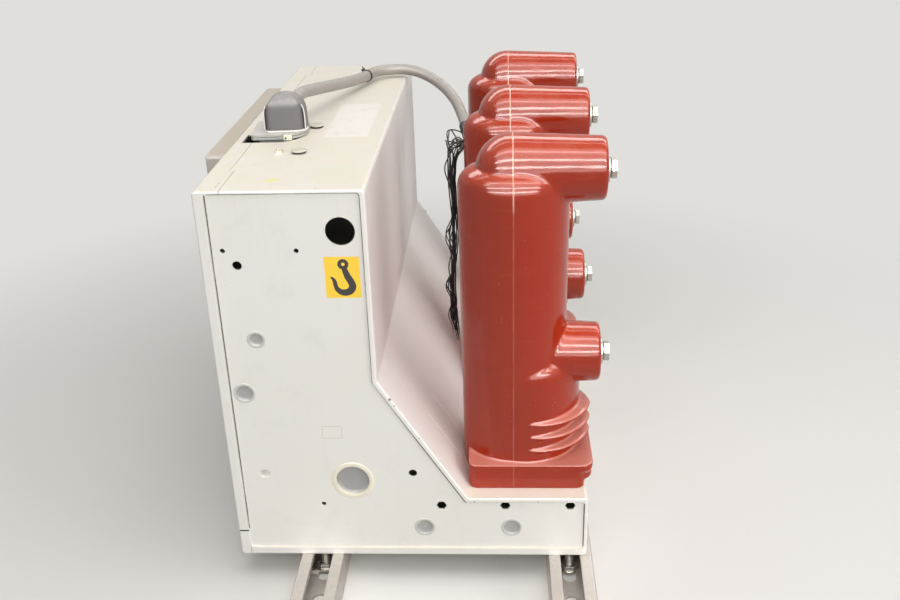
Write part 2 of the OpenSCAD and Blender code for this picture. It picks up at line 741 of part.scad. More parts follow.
// One pole's body and skirt, drawn round its own axis and up from the foot
module pole_body() {
    oval(pole_squeeze) rotate_extrude($fn = 96) polygon(concat(
        [[0, 0], [pole_r - pole_draft, 0]],
        [for (a = [0:15:90])
            [pole_r - shoulder_r + shoulder_r * cos(a), shoulder_h - shoulder_r + shoulder_r * sin(a)]],
        [[0, shoulder_h]]
    ));
    translate([0, skirt_back, 0]) oval(skirt_squeeze) rotate_extrude($fn = 96) polygon(concat(
        [[0, 0], [skirt_r, 0]],
        [for (a = [0:15:90])
            [skirt_r - skirt_edge[0] + skirt_edge[0] * cos(a), skirt_h + skirt_edge[1] * sin(a)]],
        [[0, skirt_h + skirt_edge[1]]]
    ));
    for (i = [0:shed_count - 1])
        translate([0, shed_back, shed_first_h + i * shed_pitch]) oval(shed_squeeze) shed();
}

// Half a shed's thickness, as [distance in from the edge, half thickness]
shed_profile = [[0, 0], [0.6, 1.4], [2, 2.2], [15, 5]];

// A disc that thins out towards its rounded edge
module shed() {
    last = len(shed_profile) - 1;
    rotate_extrude($fn = 96) polygon(concat(
        [[0, -shed_profile[last][1]]],
        [for (k = [last:-1:0]) [shed_r - shed_profile[k][0], -shed_profile[k][1]]],
        [for (k = [1:last]) [shed_r - shed_profile[k][0], shed_profile[k][1]]],
        [[0, shed_profile[last][1]]]
    ));
}

// A tapered arm with a rounded end that points back from y = start, beside the pole's axis
module arm(root_r, tip_r, start) {
    end_r = 4;
    rotate([-90, 0, 0]) rotate_extrude($fn = 96) polygon(concat(
        [[0, start], [root_r, start]],
        [for (a = [0:18:90])
            [tip_r - end_r + end_r * cos(a), arm_reach - end_r + end_r * sin(a)]],
        [[0, arm_reach]]
    ));
}

// Heights of the two ribs above the foot: the upper one is flush with the base's top
rib_heights = [base_rib_h, base_h - base_rib_h];
// How far the lower rib's sides stay inside the block's
lower_rib_inset = 5;

// The base under a pole: a block with two ribs round its back
module pole_base() {
    block_back = base_l - base_front - base_rib_out;
    back = base_l - base_front;
    half = base_w / 2;
    linear_extrude(base_h) polygon(rounded(
        rectangle(-half, half, -base_front, block_back), base_corner_r, 5));
    translate([0, 0, rib_heights[1]]) linear_extrude(base_rib_h) polygon(rounded(
        rectangle(-half, half, base_corner_r, back), [1, 1, base_rib_r, base_rib_r], 6));
    translate([0, 0, rib_heights[0]]) linear_extrude(base_rib_h) polygon(rounded(
        rectangle(lower_rib_inset - half, half - lower_rib_inset, base_corner_r, back - 0.6),
        [1, 1, base_rib_r, base_rib_r], 6));
}

// Cuts the hole that holds a contact piece in an arm, at height z above the foot
module terminal_hole(z) {
    translate([0, arm_reach - terminal_depth, z]) rotate([-90, 0, 0])
        cylinder(d = terminal_d + fit_gap, h = terminal_depth + eps, $fn = 64);
}

module pole(i) color(RESIN) placed() translate([i * pole_pitch, pole_y, foot_h]) difference() {
    union() {
        pole_base();
        pole_body();
        translate([0, 0, lower_term_h + term_spacing]) {
            arm(upper_arm_root_r, upper_arm_tip_r, -dome_front);
            translate([0, -dome_front, 0]) sphere(r = upper_arm_root_r, $fn = 96);
        }
        translate([0, 0, lower_term_h]) arm(lower_arm_root_r, lower_arm_tip_r, 0);
    }
    terminal_hole(lower_term_h);
    terminal_hole(lower_term_h + term_spacing);
}

// A contact piece in its arm, with the hole for its bolt
module terminal(i, z) color(COPPER) placed()
    translate([i * pole_pitch, arm_end_y - terminal_depth, z]) rotate([-90, 0, 0]) difference() {
        cylinder(d = terminal_d, h = terminal_depth + terminal_out, $fn = 64);
        translate([0, 0, 2]) cylinder(d = bolt_d + fit_gap, h = terminal_depth + terminal_out, $fn = 48);
    }

// A bolt with its washer on a contact face
module terminal_bolt(z) {
    translate([0, arm_end_y + terminal_out, z]) rotate([-90, 0, 0]) {
        translate([0, 0, 3 - terminal_depth]) cylinder(d = bolt_d, h = terminal_depth, $fn = 48);
        cylinder(d = washer_d, h = washer_t, $fn = 64);
        translate([0, 0, washer_t]) cylinder(d = bolt_af / cos(30), h = bolt_head_h, $fn = 6);
    }
}

module terminal_bolts(i) color(ZINC) placed() translate([i * pole_pitch, 0, 0]) {
    terminal_bolt(lower_z);
    terminal_bolt(upper_z);
}

// A C-shaped rail that is open at the top, with a row of slots in its web
module rail(y) color(ZINC) {
    outer = rail_w / 2;
    inner = outer - rail_t;
    mouth = rail_mouth / 2;
    last = rail_l / 2 - slot_l / 2 - rail_t;
    translate([0, y - middle_y, 0]) difference() {
        across(-rail_l / 2, rail_l / 2) polygon([
            [-outer, 0], [outer, 0], [outer, rail_h - rail_t], [outer - rail_t / 2, rail_h], [mouth, rail_h],
            [mouth, rail_h - rail_lip_h], [mouth + rail_t, rail_h - rail_lip_h],
            [mouth + rail_t, rail_h - rail_t], [inner, rail_h - rail_t], [inner, rail_t],
            [-inner, rail_t], [-inner, rail_h - rail_t], [-mouth - rail_t, rail_h - rail_t],
            [-mouth - rail_t, rail_h - rail_lip_h], [-mouth, rail_h - rail_lip_h], [-mouth, rail_h],
            [rail_t / 2 - outer, rail_h], [-outer, rail_h - rail_t]
        ]);
        for (step = [-12:12])
            if (abs(slot_shift + step * slot_pitch) <= last)
                translate([slot_shift + step * slot_pitch, 0, -eps]) slot_cutter();
    }
}

module slot_cutter() {
    side = (slot_l - slot_w) / 2;
    for (x = [-side, side]) translate([x, 0, 0]) cylinder(d = slot_w, h = rail_t + 2 * eps, $fn = 48);
    translate([-side, -slot_w / 2, 0]) cube([2 * side, slot_w, rail_t + 2 * eps]);
}

rail(front_rail_y);  // front_rail
rail(rear_rail_y);  // rear_rail
bottom_pan();
front_panel();
top_panel();
rear_panel();
side_panel(1);  // right_side_panel
side_panel(-1);  // left_side_panel
mechanism_cover();
push_button(on_button_z, "darkgreen");  // on_button
push_button(off_button_z, "firebrick");  // off_button
window_pane(position_z);  // position_window
window_pane(spring_z);  // spring_window
window_pane(counter_z);  // counter_window
charging_socket();
hole_plugs(1);  // right_hole_plugs
hole_plugs(-1);  // left_hole_plugs
access_ring(1);  // right_access_ring
access_cap(1);  // right_access_cap
access_ring(-1);  // left_access_ring
access_cap(-1);  // left_access_cap
top_plugs();
square_fitting();
connector_base();
connector_hood();
hood_latch();
control_hose();
hose_sleeve();
hose_tie();
wire_bundle();
pole(1);  // right_pole
pole(0);  // middle_pole
pole(-1);  // left_pole
terminal(1, upper_z);  // right_upper_terminal
terminal(0, upper_z);  // middle_upper_terminal
terminal(-1, upper_z);  // left_upper_terminal
terminal(1, lower_z);  // right_lower_terminal
terminal(0, lower_z);  // middle_lower_terminal
terminal(-1, lower_z);  // left_lower_terminal
terminal_bolts(1);  // right_terminal_bolts
terminal_bolts(0);  // middle_terminal_bolts
terminal_bolts(-1);  // left_terminal_bolts
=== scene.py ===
"""Looks of a gas insulated breaker: finishes, small parts, cords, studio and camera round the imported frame.

The frame is the CAD's: X along the cabinet, Y from the cabinet's front to the poles, Z up from the
underside of the rails. Sizes and places are millimetres by the cabinet's own corner unless a
docstring says otherwise, and become metres in the frame by cab() and MM.
"""
import logging
import math
import random
from dataclasses import dataclass, field
from enum import Enum
from typing import Iterable, Sequence

import bmesh
import bpy
from mathutils import Matrix, Vector


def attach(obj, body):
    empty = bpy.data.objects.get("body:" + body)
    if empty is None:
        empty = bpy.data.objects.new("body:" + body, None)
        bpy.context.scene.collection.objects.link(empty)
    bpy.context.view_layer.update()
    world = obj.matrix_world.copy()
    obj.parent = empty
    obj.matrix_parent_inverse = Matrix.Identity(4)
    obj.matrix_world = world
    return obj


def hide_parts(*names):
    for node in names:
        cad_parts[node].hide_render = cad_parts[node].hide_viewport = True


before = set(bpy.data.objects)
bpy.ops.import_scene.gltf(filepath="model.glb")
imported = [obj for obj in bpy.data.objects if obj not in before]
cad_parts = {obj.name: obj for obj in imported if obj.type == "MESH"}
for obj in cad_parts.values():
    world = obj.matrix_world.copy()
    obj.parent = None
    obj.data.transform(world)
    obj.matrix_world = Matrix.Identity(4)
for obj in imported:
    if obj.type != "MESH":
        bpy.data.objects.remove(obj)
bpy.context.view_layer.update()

LOG = logging.getLogger("breaker")
MM = 0.001
BODY = "root"
TURN = 2 * math.pi
MERGE_GAP = 2e-6
UP = Vector((0, 0, 1))
BACK = Vector((0, 1, 0))

# The cabinet's own corner in the frame: the drawing counts Y from the front and Z from the pan
FRONT_Y = -192.5
PAN_Z = 30.0


def cab(x: float, y: float, z: float) -> Vector:
    """Turns millimetres from the cabinet's middle, front and bottom into frame metres.

    Args:
        x: Millimetres to the right of the cabinet's middle.
        y: Millimetres behind its front.
        z: Millimetres above its bottom.

    Returns:
        The point in the frame.
    """
    return Vector((x, y + FRONT_Y, z + PAN_Z)) * MM


def paint(red: int, green: int, blue: int) -> tuple[float, float, float, float]:
    """Turns a colour of 0 to 255 a channel into the linear colour that a shader takes.

    Args:
        red: Red channel.
        green: Green channel.
        blue: Blue channel.

    Returns:
        Linear red, green, blue and an alpha of 1.
    """
    def linear(channel: int) -> float:
        """Undoes the display curve of one channel."""
        share = channel / 255
        return share / 12.92 if share <= 0.04045 else ((share + 0.055) / 1.055) ** 2.4

    return linear(red), linear(green), linear(blue), 1.0


def facing(origin: Vector, ahead: Vector, up: Vector = UP) -> Matrix:
    """Makes the place of a piece that is drawn round +Z, so that its +Z looks ahead.

    Args:
        origin: Where the piece's own origin goes.
        ahead: The way its +Z points.
        up: The way its +Y points, as far as it can.

    Returns:
        The matrix that puts the piece there.
    """
    z_axis = ahead.normalized()
    if abs(z_axis.dot(up.normalized())) > 0.98:
        up = BACK
    x_axis = up.cross(z_axis).normalized()
    y_axis = z_axis.cross(x_axis)
    turn = Matrix((x_axis, y_axis, z_axis)).transposed().to_4x4()
    return Matrix.Translation(origin) @ turn


def linked(name: str, data: bpy.types.ID) -> bpy.types.Object:
    """Makes an object of a mesh, curve, lamp or camera and puts it in the scene."""
    made = bpy.data.objects.new(name, data)
    bpy.context.scene.collection.objects.link(made)
    return made


def baked(holder: bpy.types.Object) -> bpy.types.Mesh:
    """Turns an object into a plain mesh, with its modifiers applied, and removes the object."""
    bpy.context.view_layer.update()
    mesh = bpy.data.meshes.new_from_object(holder.evaluated_get(bpy.context.evaluated_depsgraph_get()))
    bpy.data.objects.remove(holder)
    return mesh


def over_corners(flats: float) -> float:
    """Gives a hexagon's size over its corners from its size across flats."""
    return flats / math.cos(math.pi / 6)


class Side(Enum):
    """The side of the cabinet that a piece sits on, as the sign of its X."""

    RIGHT = 1
    LEFT = -1

    @property
    def word(self) -> str:
        """Gives the side's name as it stands in the names of pieces."""
        return self.name.lower()


class Nodes:
    """A node tree with short calls for the nodes that finishes and room share."""

    def __init__(self, tree: bpy.types.NodeTree) -> None:
        """Takes the tree that the nodes go into."""
        self.tree = tree

    def node(self, kind: str, settings: dict | None = None, **inputs: object) -> bpy.types.Node:
        """Adds a node.

        Args:
            kind: The node's type name.
            settings: Attributes of the node.
            **inputs: Values or sockets for its inputs, by name.

        Returns:
            The new node.
        """
        made = self.tree.nodes.new(kind)
        for key, value in (settings or {}).items():
            setattr(made, key, value)
        for key, value in inputs.items():
            self.feed(made, key, value)
        return made

    def feed(self, node: bpy.types.Node, key: str | int, value: object) -> None:
        """Links a socket to a node's input, or sets the input's value.

        Args:
            node: The node that takes it.
            key: The input's name or number.
            value: An output socket or a plain value.
        """
        if isinstance(value, bpy.types.NodeSocket):
            self.tree.links.new(value, node.inputs[key])
        else:
            node.inputs[key].default_value = value

    def span(self, value: bpy.types.NodeSocket, low: float, high: float,
             to_low: float = 0.0, to_high: float = 1.0) -> bpy.types.NodeSocket:
        """Maps a value from one range to another and holds it there.

        Args:
            value: The socket to map.
            low: Value that becomes to_low.
            high: Value that becomes to_high.
            to_low: First end of the result.
            to_high: Last end of the result.

        Returns:
            The mapped socket.
        """
        made = self.node("ShaderNodeMapRange", {"interpolation_type": "SMOOTHSTEP"})
        for key, number in enumerate((value, low, high, to_low, to_high)):
            self.feed(made, key, number)
        return made.outputs[0]

    def sums(self, how: str, first: object, second: object) -> bpy.types.NodeSocket:
        """Gives the result of one sum, such as MULTIPLY or MAXIMUM."""
        made = self.node("ShaderNodeMath", {"operation": how})
        self.feed(made, 0, first)
        self.feed(made, 1, second)
        return made.outputs[0]

    def times(self, first: object, second: object) -> bpy.types.NodeSocket:
        """Multiplies two values."""
        return self.sums("MULTIPLY", first, second)

    def seen(self) -> bpy.types.NodeSocket:
        """Gives 1 for rays that show the background: the camera's, reflected and clear ones."""
        rays = self.node("ShaderNodeLightPath").outputs
        shown = self.sums("MAXIMUM", rays["Is Camera Ray"], rays["Is Glossy Ray"])
        return self.sums("MAXIMUM", shown, rays["Is Transmission Ray"])


class Shader(Nodes):
    """A material's node tree with short calls for the nodes that the finishes use."""

    def __init__(self, name: str) -> None:
        """Starts a material of that name."""
        self.material = bpy.data.materials.new(name)
        self.material.use_nodes = True
        super().__init__(self.material.node_tree)
        self.surface = self.tree.nodes["Principled BSDF"]
        self.place = self.node("ShaderNodeTexCoord").outputs["Object"]

    def part(self, axis: str) -> bpy.types.NodeSocket:
        """Gives one of the object's coordinates."""
        return self.node("ShaderNodeSeparateXYZ", Vector=self.place).outputs[axis]

    def stretched(self, scale: Sequence[float], turn: Sequence[float] = (0, 0, 0)) -> bpy.types.NodeSocket:
        """Gives the object's coordinates, scaled and turned."""
        return self.node("ShaderNodeMapping", Vector=self.place, Scale=scale, Rotation=turn).outputs[0]

    def noise(self, scale: float, detail: float = 3.0, rough: float = 0.5,
              at: bpy.types.NodeSocket | None = None) -> bpy.types.NodeSocket:
        """Gives a cloudy value.

        Args:
            scale: Clouds to a metre.
            detail: Octaves.
            rough: Weight of the finer octaves.
            at: The coordinates, or the object's own.

        Returns:
            The socket with the value.
        """
        made = self.node("ShaderNodeTexNoise", Vector=at or self.place, Scale=scale,
                         Detail=detail, Roughness=rough)
        return made.outputs[0]

    def cells(self, scale: float, output: str = "Distance") -> bpy.types.NodeSocket:
        """Gives a value or colour of scattered cells."""
        return self.node("ShaderNodeTexVoronoi", Vector=self.place, Scale=scale).outputs[output]

    def blend(self, share: object, base: object, over: object) -> bpy.types.NodeSocket:
        """Blends two colours.

        Args:
            share: How much of the second colour shows.
            base: The first colour.
            over: The second colour.

        Returns:
            The blended colour.
        """
        made = self.node("ShaderNodeMix", {"data_type": "RGBA"})
        self.feed(made, 0, share)
        self.feed(made, 6, base)
        self.feed(made, 7, over)
        return made.outputs[2]

    def layered(self, base: object, *layers: tuple[object, tuple[float, ...]]) -> object:
        """Lays colours over a base one after another, each by its share."""
        for share, over in layers:
            base = self.blend(share, base, over)
        return base

    def bump(self, height: bpy.types.NodeSocket, depth: float,
             under: bpy.types.NodeSocket | None = None) -> bpy.types.NodeSocket:
        """Turns a height into a normal.

        Args:
            height: Height from 0 to 1.
            depth: What a height of 1 stands for, in metres.
            under: A normal that this one is laid over.

        Returns:
            The normal.
        """
        made = self.node("ShaderNodeBump", Height=height, Distance=depth, Strength=1.0)
        if under is not None:
            self.feed(made, "Normal", under)
        return made.outputs[0]

    def upward(self) -> bpy.types.NodeSocket:
        """Gives how far a face looks up, from -1 to 1."""
        normal = self.node("ShaderNodeNewGeometry").outputs["Normal"]
        return self.node("ShaderNodeSeparateXYZ", Vector=normal).outputs["Z"]

    def set(self, **inputs: object) -> None:
        """Sets inputs of the surface; an underscore in a name stands for a space."""
        for key, value in inputs.items():
            self.feed(self.surface, key.replace("_", " "), value)


@dataclass(frozen=True)
class Finish:
    """A surface finish with the record's slot that it stands for."""

    name: str
    slot: str
    colour: tuple[float, float, float, float]
    roughness: float = 0.4

    def dress(self, shader: Shader) -> None:
        """Builds the finish's nodes; the kinds of finish fill it in."""
        raise NotImplementedError

    def tone(self, *factors: float) -> tuple[float, ...]:
        """Gives the colour with its red, green and blue scaled, each held under 1."""
        return tuple(min(1.0, c * f) for c, f in zip(self.colour[:3], factors)) + (1.0,)

    def material(self) -> bpy.types.Material:
        """Gives the finish's material, made once."""
        known = bpy.data.materials.get(self.name)
        if known:
            return known
        shader = Shader(self.name)
        self.dress(shader)
        return shader.material


@dataclass(frozen=True)
class PowderCoat(Finish):
    """Baked paint on sheet steel: orange peel, smudges, specks and dust on its upward faces."""

    grime: float = 0.5

    def dress(self, shader: Shader) -> None:
        """Builds the finish's nodes."""
        clouds = shader.noise(7, 2)
        smudge = shader.span(shader.noise(22, 5, 0.62), 0.53, 0.72, 0, 0.34 * self.grime)
        rubbed = shader.noise(9, 4, 0.6, shader.stretched((1, 14, 1), (0.3, 0.2, 0.5)))
        rub = shader.span(rubbed, 0.56, 0.72, 0, 0.2 * self.grime)
        speck = shader.times(shader.span(shader.cells(170), 0.05, 0.12, 0.45 * self.grime, 0),
                             shader.span(shader.noise(31, 1), 0.58, 0.66))
        dust = shader.times(shader.span(shader.upward(), 0.6, 1.0, 0, self.grime),
                            shader.span(shader.noise(40, 6, 0.7), 0.2, 0.75, 0.4, 1.2))
        cloud = shader.span(clouds, 0.3, 0.7, 0, 0.22)
        tint = shader.layered(self.colour, (cloud, self.tone(0.93, 0.92, 0.88)),
                              (smudge, self.tone(0.72, 0.71, 0.70)), (rub, self.tone(0.82, 0.80, 0.76)),
                              (dust, self.tone(1.0, 0.88, 0.66)), (speck, paint(96, 84, 70)))
        peel = shader.noise(620, 2, 0.45)
        scratch = shader.noise(60, 3, 0.5, shader.stretched((1, 26, 2), (0.9, 0.4, 0.2)))
        fine = shader.bump(shader.span(scratch, 0.66, 0.74), -0.00002)
        rough = shader.sums("ADD", shader.span(smudge, 0, 0.3, self.roughness, self.roughness + 0.14),
                            shader.span(dust, 0, 0.5, 0, 0.12))
        shader.set(Base_Color=tint, Roughness=rough, Normal=shader.bump(peel, 0.00004, fine))
        shader.set(Specular_IOR_Level=0.42)


@dataclass(frozen=True)
class CastResin(Finish):
    """Glossy cast epoxy: waviness, dust and a painted pale sheen on its upward faces, rubbed streaks, fine
    scratches and a pale mould seam.

    Places are metres in the frame: seam_y is where the mould's halves met, the seam is worn below
    seam_fade, and settled dust with a painted pale reflection lies on the upward faces below
    dust_and_sheen_below.
    """

    haze: float = 1.0
    gloss: float = 0.5
    seam_y: float = 0.0
    seam_fade: tuple[float, float] = (0.415, 0.435)
    dust_and_sheen_below: tuple[float, float] = (0.2, 0.26)

    def seam(self, shader: Shader) -> bpy.types.NodeSocket:
        """Gives the pale line where the mould's halves met, thin and partly rubbed off."""
        off = shader.sums("ABSOLUTE", shader.sums("SUBTRACT", shader.part("Y"), self.seam_y), 0.0)
        worn = shader.span(shader.noise(34, 3, 0.6), 0.3, 0.6, 0.5, 1.0)
        rubbed = shader.span(shader.part("Z"), *self.seam_fade, 0.13, 1)
        line = shader.times(shader.span(off, 0.0004, 0.001, 1, 0), worn)
        return shader.times(line, rubbed)

    def dress(self, shader: Shader) -> None:
        """Builds the finish's nodes."""
        flow = shader.noise(9, 3, 0.5, shader.stretched((1, 1, 0.3)))
        cloud = shader.span(shader.noise(38, 6, 0.7), 0.34, 0.78)
        dust = shader.times(cloud, shader.span(shader.upward(), 0.0, 0.95, 0.02, 0.2 * self.haze))
        # Painted sheen: upward faces are lightened for the light and reflection from above
        pale = shader.span(shader.upward(), 0.25, 0.95, 0, 0.75 * self.haze)
        streak = shader.noise(16, 5, 0.62, shader.stretched((1, 1, 7), (0.15, 0.1, 0)))
        rub = shader.span(streak, 0.6, 0.8, 0, 0.14 * self.haze)
        speck = shader.times(shader.span(shader.cells(380), 0.06, 0.12, 0.8, 0),
                             shader.span(shader.noise(60, 2), 0.6, 0.66))
        # Settled dust and painted reflection: the low upward faces of the base and sheds are paled
        settled = shader.times(shader.span(shader.part("Z"), *self.dust_and_sheen_below, 0.7, 0),
                               shader.span(shader.upward(), 0.2, 0.8))
        waves = shader.span(flow, 0.3, 0.7, 0, 0.5)
        tint = shader.layered(self.colour, (waves, self.tone(0.84, 0.80, 0.80)),
                              (pale, self.tone(1.7, 2.1, 2.6)), (dust, paint(214, 128, 98)),
                              (settled, paint(208, 142, 128)), (rub, paint(190, 92, 68)),
                              (speck, paint(222, 180, 160)), (self.seam(shader), paint(246, 190, 168)))
        wave = shader.bump(shader.noise(22, 2, 0.4), 0.0001)
        grain = shader.bump(shader.noise(800, 2, 0.5), 0.000008, wave)
        scratch = shader.noise(80, 3, 0.5, shader.stretched((1, 1, 22), (0.15, 0.3, 0.4)))
        normal = shader.bump(shader.span(scratch, 0.69, 0.75), -0.000012, grain)
        rough = shader.sums("ADD", shader.span(cloud, 0, 1, self.roughness, self.roughness + 0.08),
                            shader.span(rub, 0, 0.2, 0, 0.16))
        shader.set(Base_Color=tint, Roughness=rough, Normal=normal, Specular_IOR_Level=self.gloss)
        shader.set(Specular_Tint=(1.0, 0.94, 0.92, 1.0))


@dataclass(frozen=True)
class Zinc(Finish):
    """Zinc on steel: spangle or brushed grain, dull patches and dark scuffs."""

    spangle: float = 130.0
    metal: float = 0.75

    def dress(self, shader: Shader) -> None:
        """Builds the finish's nodes."""
        facets = shader.node("ShaderNodeSeparateColor", Color=shader.cells(self.spangle, "Color")).outputs[0]
        dull = shader.span(shader.noise(18, 5, 0.65), 0.42, 0.72)
        draw = shader.noise(24, 4, 0.6, shader.stretched((1, 30, 30)))
        flower = shader.span(facets, 0, 1, 0, 0.35)
        scuff = shader.span(shader.noise(75, 4, 0.7), 0.64, 0.74, 0, 0.4)
        tint = shader.layered(self.colour, (flower, self.tone(0.82, 0.83, 0.85)),
                              (shader.times(dull, 0.45), self.tone(0.72, 0.70, 0.66)),
                              (scuff, paint(96, 90, 80)))
        rough = shader.sums("ADD", shader.span(facets, 0, 1, self.roughness - 0.06, self.roughness + 0.08),
                            shader.span(dull, 0, 1, 0, 0.14))
        grain = shader.bump(draw, 0.00003)
        shader.set(Base_Color=tint, Roughness=rough, Metallic=self.metal,
                   Normal=shader.bump(shader.noise(500, 3), 0.000015, grain))


@dataclass(frozen=True)
class Plastic(Finish):
    """Moulded plastic: fine texture, flow clouds, rubbed patches, dust and a top lightened by painted light.
    """

    grain: float = 1500.0
    depth: float = 0.00003
    glow: float = 0.0
    painted_top_light: float = 0.0

    def dress(self, shader: Shader) -> None:
        """Builds the finish's nodes."""
        clouds = shader.span(shader.noise(24, 4, 0.55), 0.35, 0.7, 0, 0.35)
        rub = shader.span(shader.noise(60, 5, 0.65), 0.6, 0.75, 0, 0.3)
        up = shader.upward()
        dust = shader.times(shader.span(up, 0.2, 1, 0, 0.22),
                            shader.span(shader.noise(130, 5, 0.7), 0.4, 0.7))
        tint = shader.layered(self.colour, (clouds, self.tone(0.90, 0.90, 0.89)),
                              (rub, self.tone(1.18, 1.17, 1.15)))
        # Painted light: upward faces are blended towards a pale grey for the light and sheen on the top
        if self.painted_top_light:
            tint = shader.blend(shader.span(up, 0.15, 0.95, 0, self.painted_top_light), tint, paint(208, 203, 198))
        tint = shader.blend(dust, tint, paint(206, 198, 182))
        rough = shader.sums("ADD", self.roughness, shader.times(rub, -0.3))
        shader.set(Base_Color=tint, Roughness=rough,
                   Normal=shader.bump(shader.noise(self.grain, 2, 0.6), self.depth))
        if self.glow:
            shader.set(Subsurface_Weight=self.glow, Subsurface_Radius=(0.004, 0.0038, 0.0034))


@dataclass(frozen=True)
class Film(Finish):
    """A stuck-on film or paper: slight wrinkles, scuffs and soiled spots."""

    soil: float = 0.3

    def dress(self, shader: Shader) -> None:
        """Builds the finish's nodes."""
        stain = shader.span(shader.noise(45, 5, 0.65), 0.5, 0.75, 0, self.soil)
        rubbed = shader.noise(120, 4, 0.6, shader.stretched((1, 6, 1), (0.7, 0, 0.3)))
        scuff = shader.span(rubbed, 0.66, 0.74, 0, 0.4)
        tint = shader.layered(self.colour, (stain, self.tone(0.78, 0.74, 0.68)),
                              (scuff, self.tone(0.9, 0.88, 0.84)))
        wrinkle = shader.bump(shader.noise(38, 3, 0.5), 0.00018)
        rough = shader.span(stain, 0, 0.3, self.roughness, self.roughness + 0.15)
        shader.set(Base_Color=tint, Roughness=rough,
                   Normal=shader.bump(shader.noise(1300, 2), 0.00001, wrinkle))


@dataclass(frozen=True)
class Grime(Finish):
    """Painted shade along an edge: a dark line that stands in for the shade in a corner or recess, broken in
    places by a paler tone.
    """

    break_tone: tuple[float, float, float, float] = (0.75, 0.72, 0.66, 1.0)
    breaks: tuple[float, float] = (0.5, 0.7)

    def dress(self, shader: Shader) -> None:
        """Builds the finish's nodes."""
        # Painted shade, broken by noise and flecked darker
        breaks = shader.span(shader.noise(16, 5, 0.7), *self.breaks)
        fleck = shader.span(shader.noise(420, 3, 0.7), 0.35, 0.7, 0, 0.3)
        tint = shader.layered(self.colour, (breaks, self.break_tone), (fleck, self.tone(0.6, 0.58, 0.55)))
        shader.set(Base_Color=tint, Roughness=self.roughness, Specular_IOR_Level=0.2,
                   Normal=shader.bump(shader.noise(900, 3, 0.7), 0.0001))


SEAM_Y = 304.3
CREAM = PowderCoat("cream_powder_coat", "cream_paint", paint(227, 226, 222), 0.36)
COVER_GREY = PowderCoat("cover_grey_coat", "grey_paint", paint(178, 172, 164), 0.42, 0.5)
RESIN = CastResin("red_brown_resin", "brown_resin", paint(153, 37, 4), 0.12, seam_y=cab(0, SEAM_Y, 0).y)
RAIL_ZINC = Zinc("rail_zinc", "zinc_steel", paint(184, 178, 171), 0.45, metal=0.55)
BOLT_ZINC = Zinc("bolt_zinc", "bolt_steel", paint(184, 181, 174), 0.32, 400, 0.9)
DARK_STEEL = Zinc("dark_spring_steel", "bolt_steel", paint(104, 100, 88), 0.34, 500, 0.9)
PALE_PASSIVATED = Zinc("pale_passivated", "bolt_steel", paint(206, 198, 180), 0.4, 600, 0.5)
PLATED = Zinc("plated_contact", "plated_copper", paint(196, 184, 168), 0.36, 300, 0.9)
HOOD_GREY = Plastic("hood_plastic", "grey_plastic", paint(94, 91, 93), 0.48, painted_top_light=0.2)
# Painted highlight: a near-white plastic for the beads along the hood's rims
HOOD_RIM_HIGHLIGHT = Plastic("hood_rim_highlight", "grey_plastic", paint(226, 223, 220), 0.4, painted_top_light=0.2)
BASE_GREY = Plastic("base_plastic", "grey_plastic", paint(168, 170, 164), 0.46, painted_top_light=0.8)
FROST = Plastic("frosted_plug", "beige_plastic", paint(198, 198, 193), 0.38, 500, 0.00001, 0.25)
FROST_DISH = Plastic("frosted_dish", "beige_plastic", paint(166, 165, 164), 0.36, 500, 0.00001, 0.25)
CAP_FROST = Plastic("frosted_cap", "grey_plastic", paint(156, 156, 157), 0.38, 500, 0.00001, 0.2)
PLUG_IVORY = Plastic("plug_ivory", "beige_plastic", paint(206, 200, 186), 0.4, 500, 0.00001, 0.1)
IVORY = Plastic("ivory_ring", "beige_plastic", paint(230, 226, 208), 0.36, 700, 0.00001, 0.15)
HOSE_GREY = Plastic("hose_skin", "hose_plastic", paint(152, 147, 140), 0.42, 260, 0.00003)
RUBBER = Plastic("soft_rubber", "black_rubber", paint(26, 25, 24), 0.5, 800, 0.00003)
WIRE_SKIN = Plastic("wire_skin", "black_rubber", paint(22, 22, 23), 0.34, 900, 0.00001)
GREEN = Plastic("on_button_plastic", "green_button", paint(34, 122, 66), 0.28)
RED = Plastic("off_button_plastic", "red_button", paint(176, 34, 30), 0.28)
YELLOW = Film("yellow_film", "beige_plastic", paint(252, 208, 58), 0.38, 0.18)
SCRAP = Film("faded_scrap", "beige_plastic", paint(226, 222, 146), 0.5, 0.5)
INK = Film("black_ink", "black_rubber", paint(40, 38, 36), 0.42, 0.1)
PAPER = Film("label_paper", "beige_plastic", paint(232, 227, 219), 0.6, 0.4)
RESIDUE = Film("tape_residue", "beige_plastic", paint(228, 224, 207), 0.36, 0.1)
# Painted shade: dark tones laid in corners, seams and recesses where shade falls
CORNER_SHADE = Grime("corner_shade", "black_rubber", paint(112, 104, 95), 0.85)
FOOT_SHADE = Grime("foot_shade", "black_rubber", paint(98, 91, 83), 0.85, breaks=(0.62, 0.82))
# Painted highlight: thin pale strips along the slope
SLOPE_GLINT = PowderCoat("slope_glint_paint", "cream_paint", paint(250, 247, 242), 0.4, 0.1)
GLUE_TRACE_AND_SHADE = Film("old_trace_and_dimple_shade", "beige_plastic", paint(196, 192, 180), 0.6, 0.4)
BARE = Film("bare_chip", "zinc_steel", paint(128, 120, 110), 0.5, 0.6)
DIAL_WHITE = Film("dial_white", "grey_plastic", paint(228, 226, 218), 0.5, 0.2)
DIAL_BLACK = Film("dial_black", "grey_plastic", paint(34, 34, 34), 0.5, 0.2)


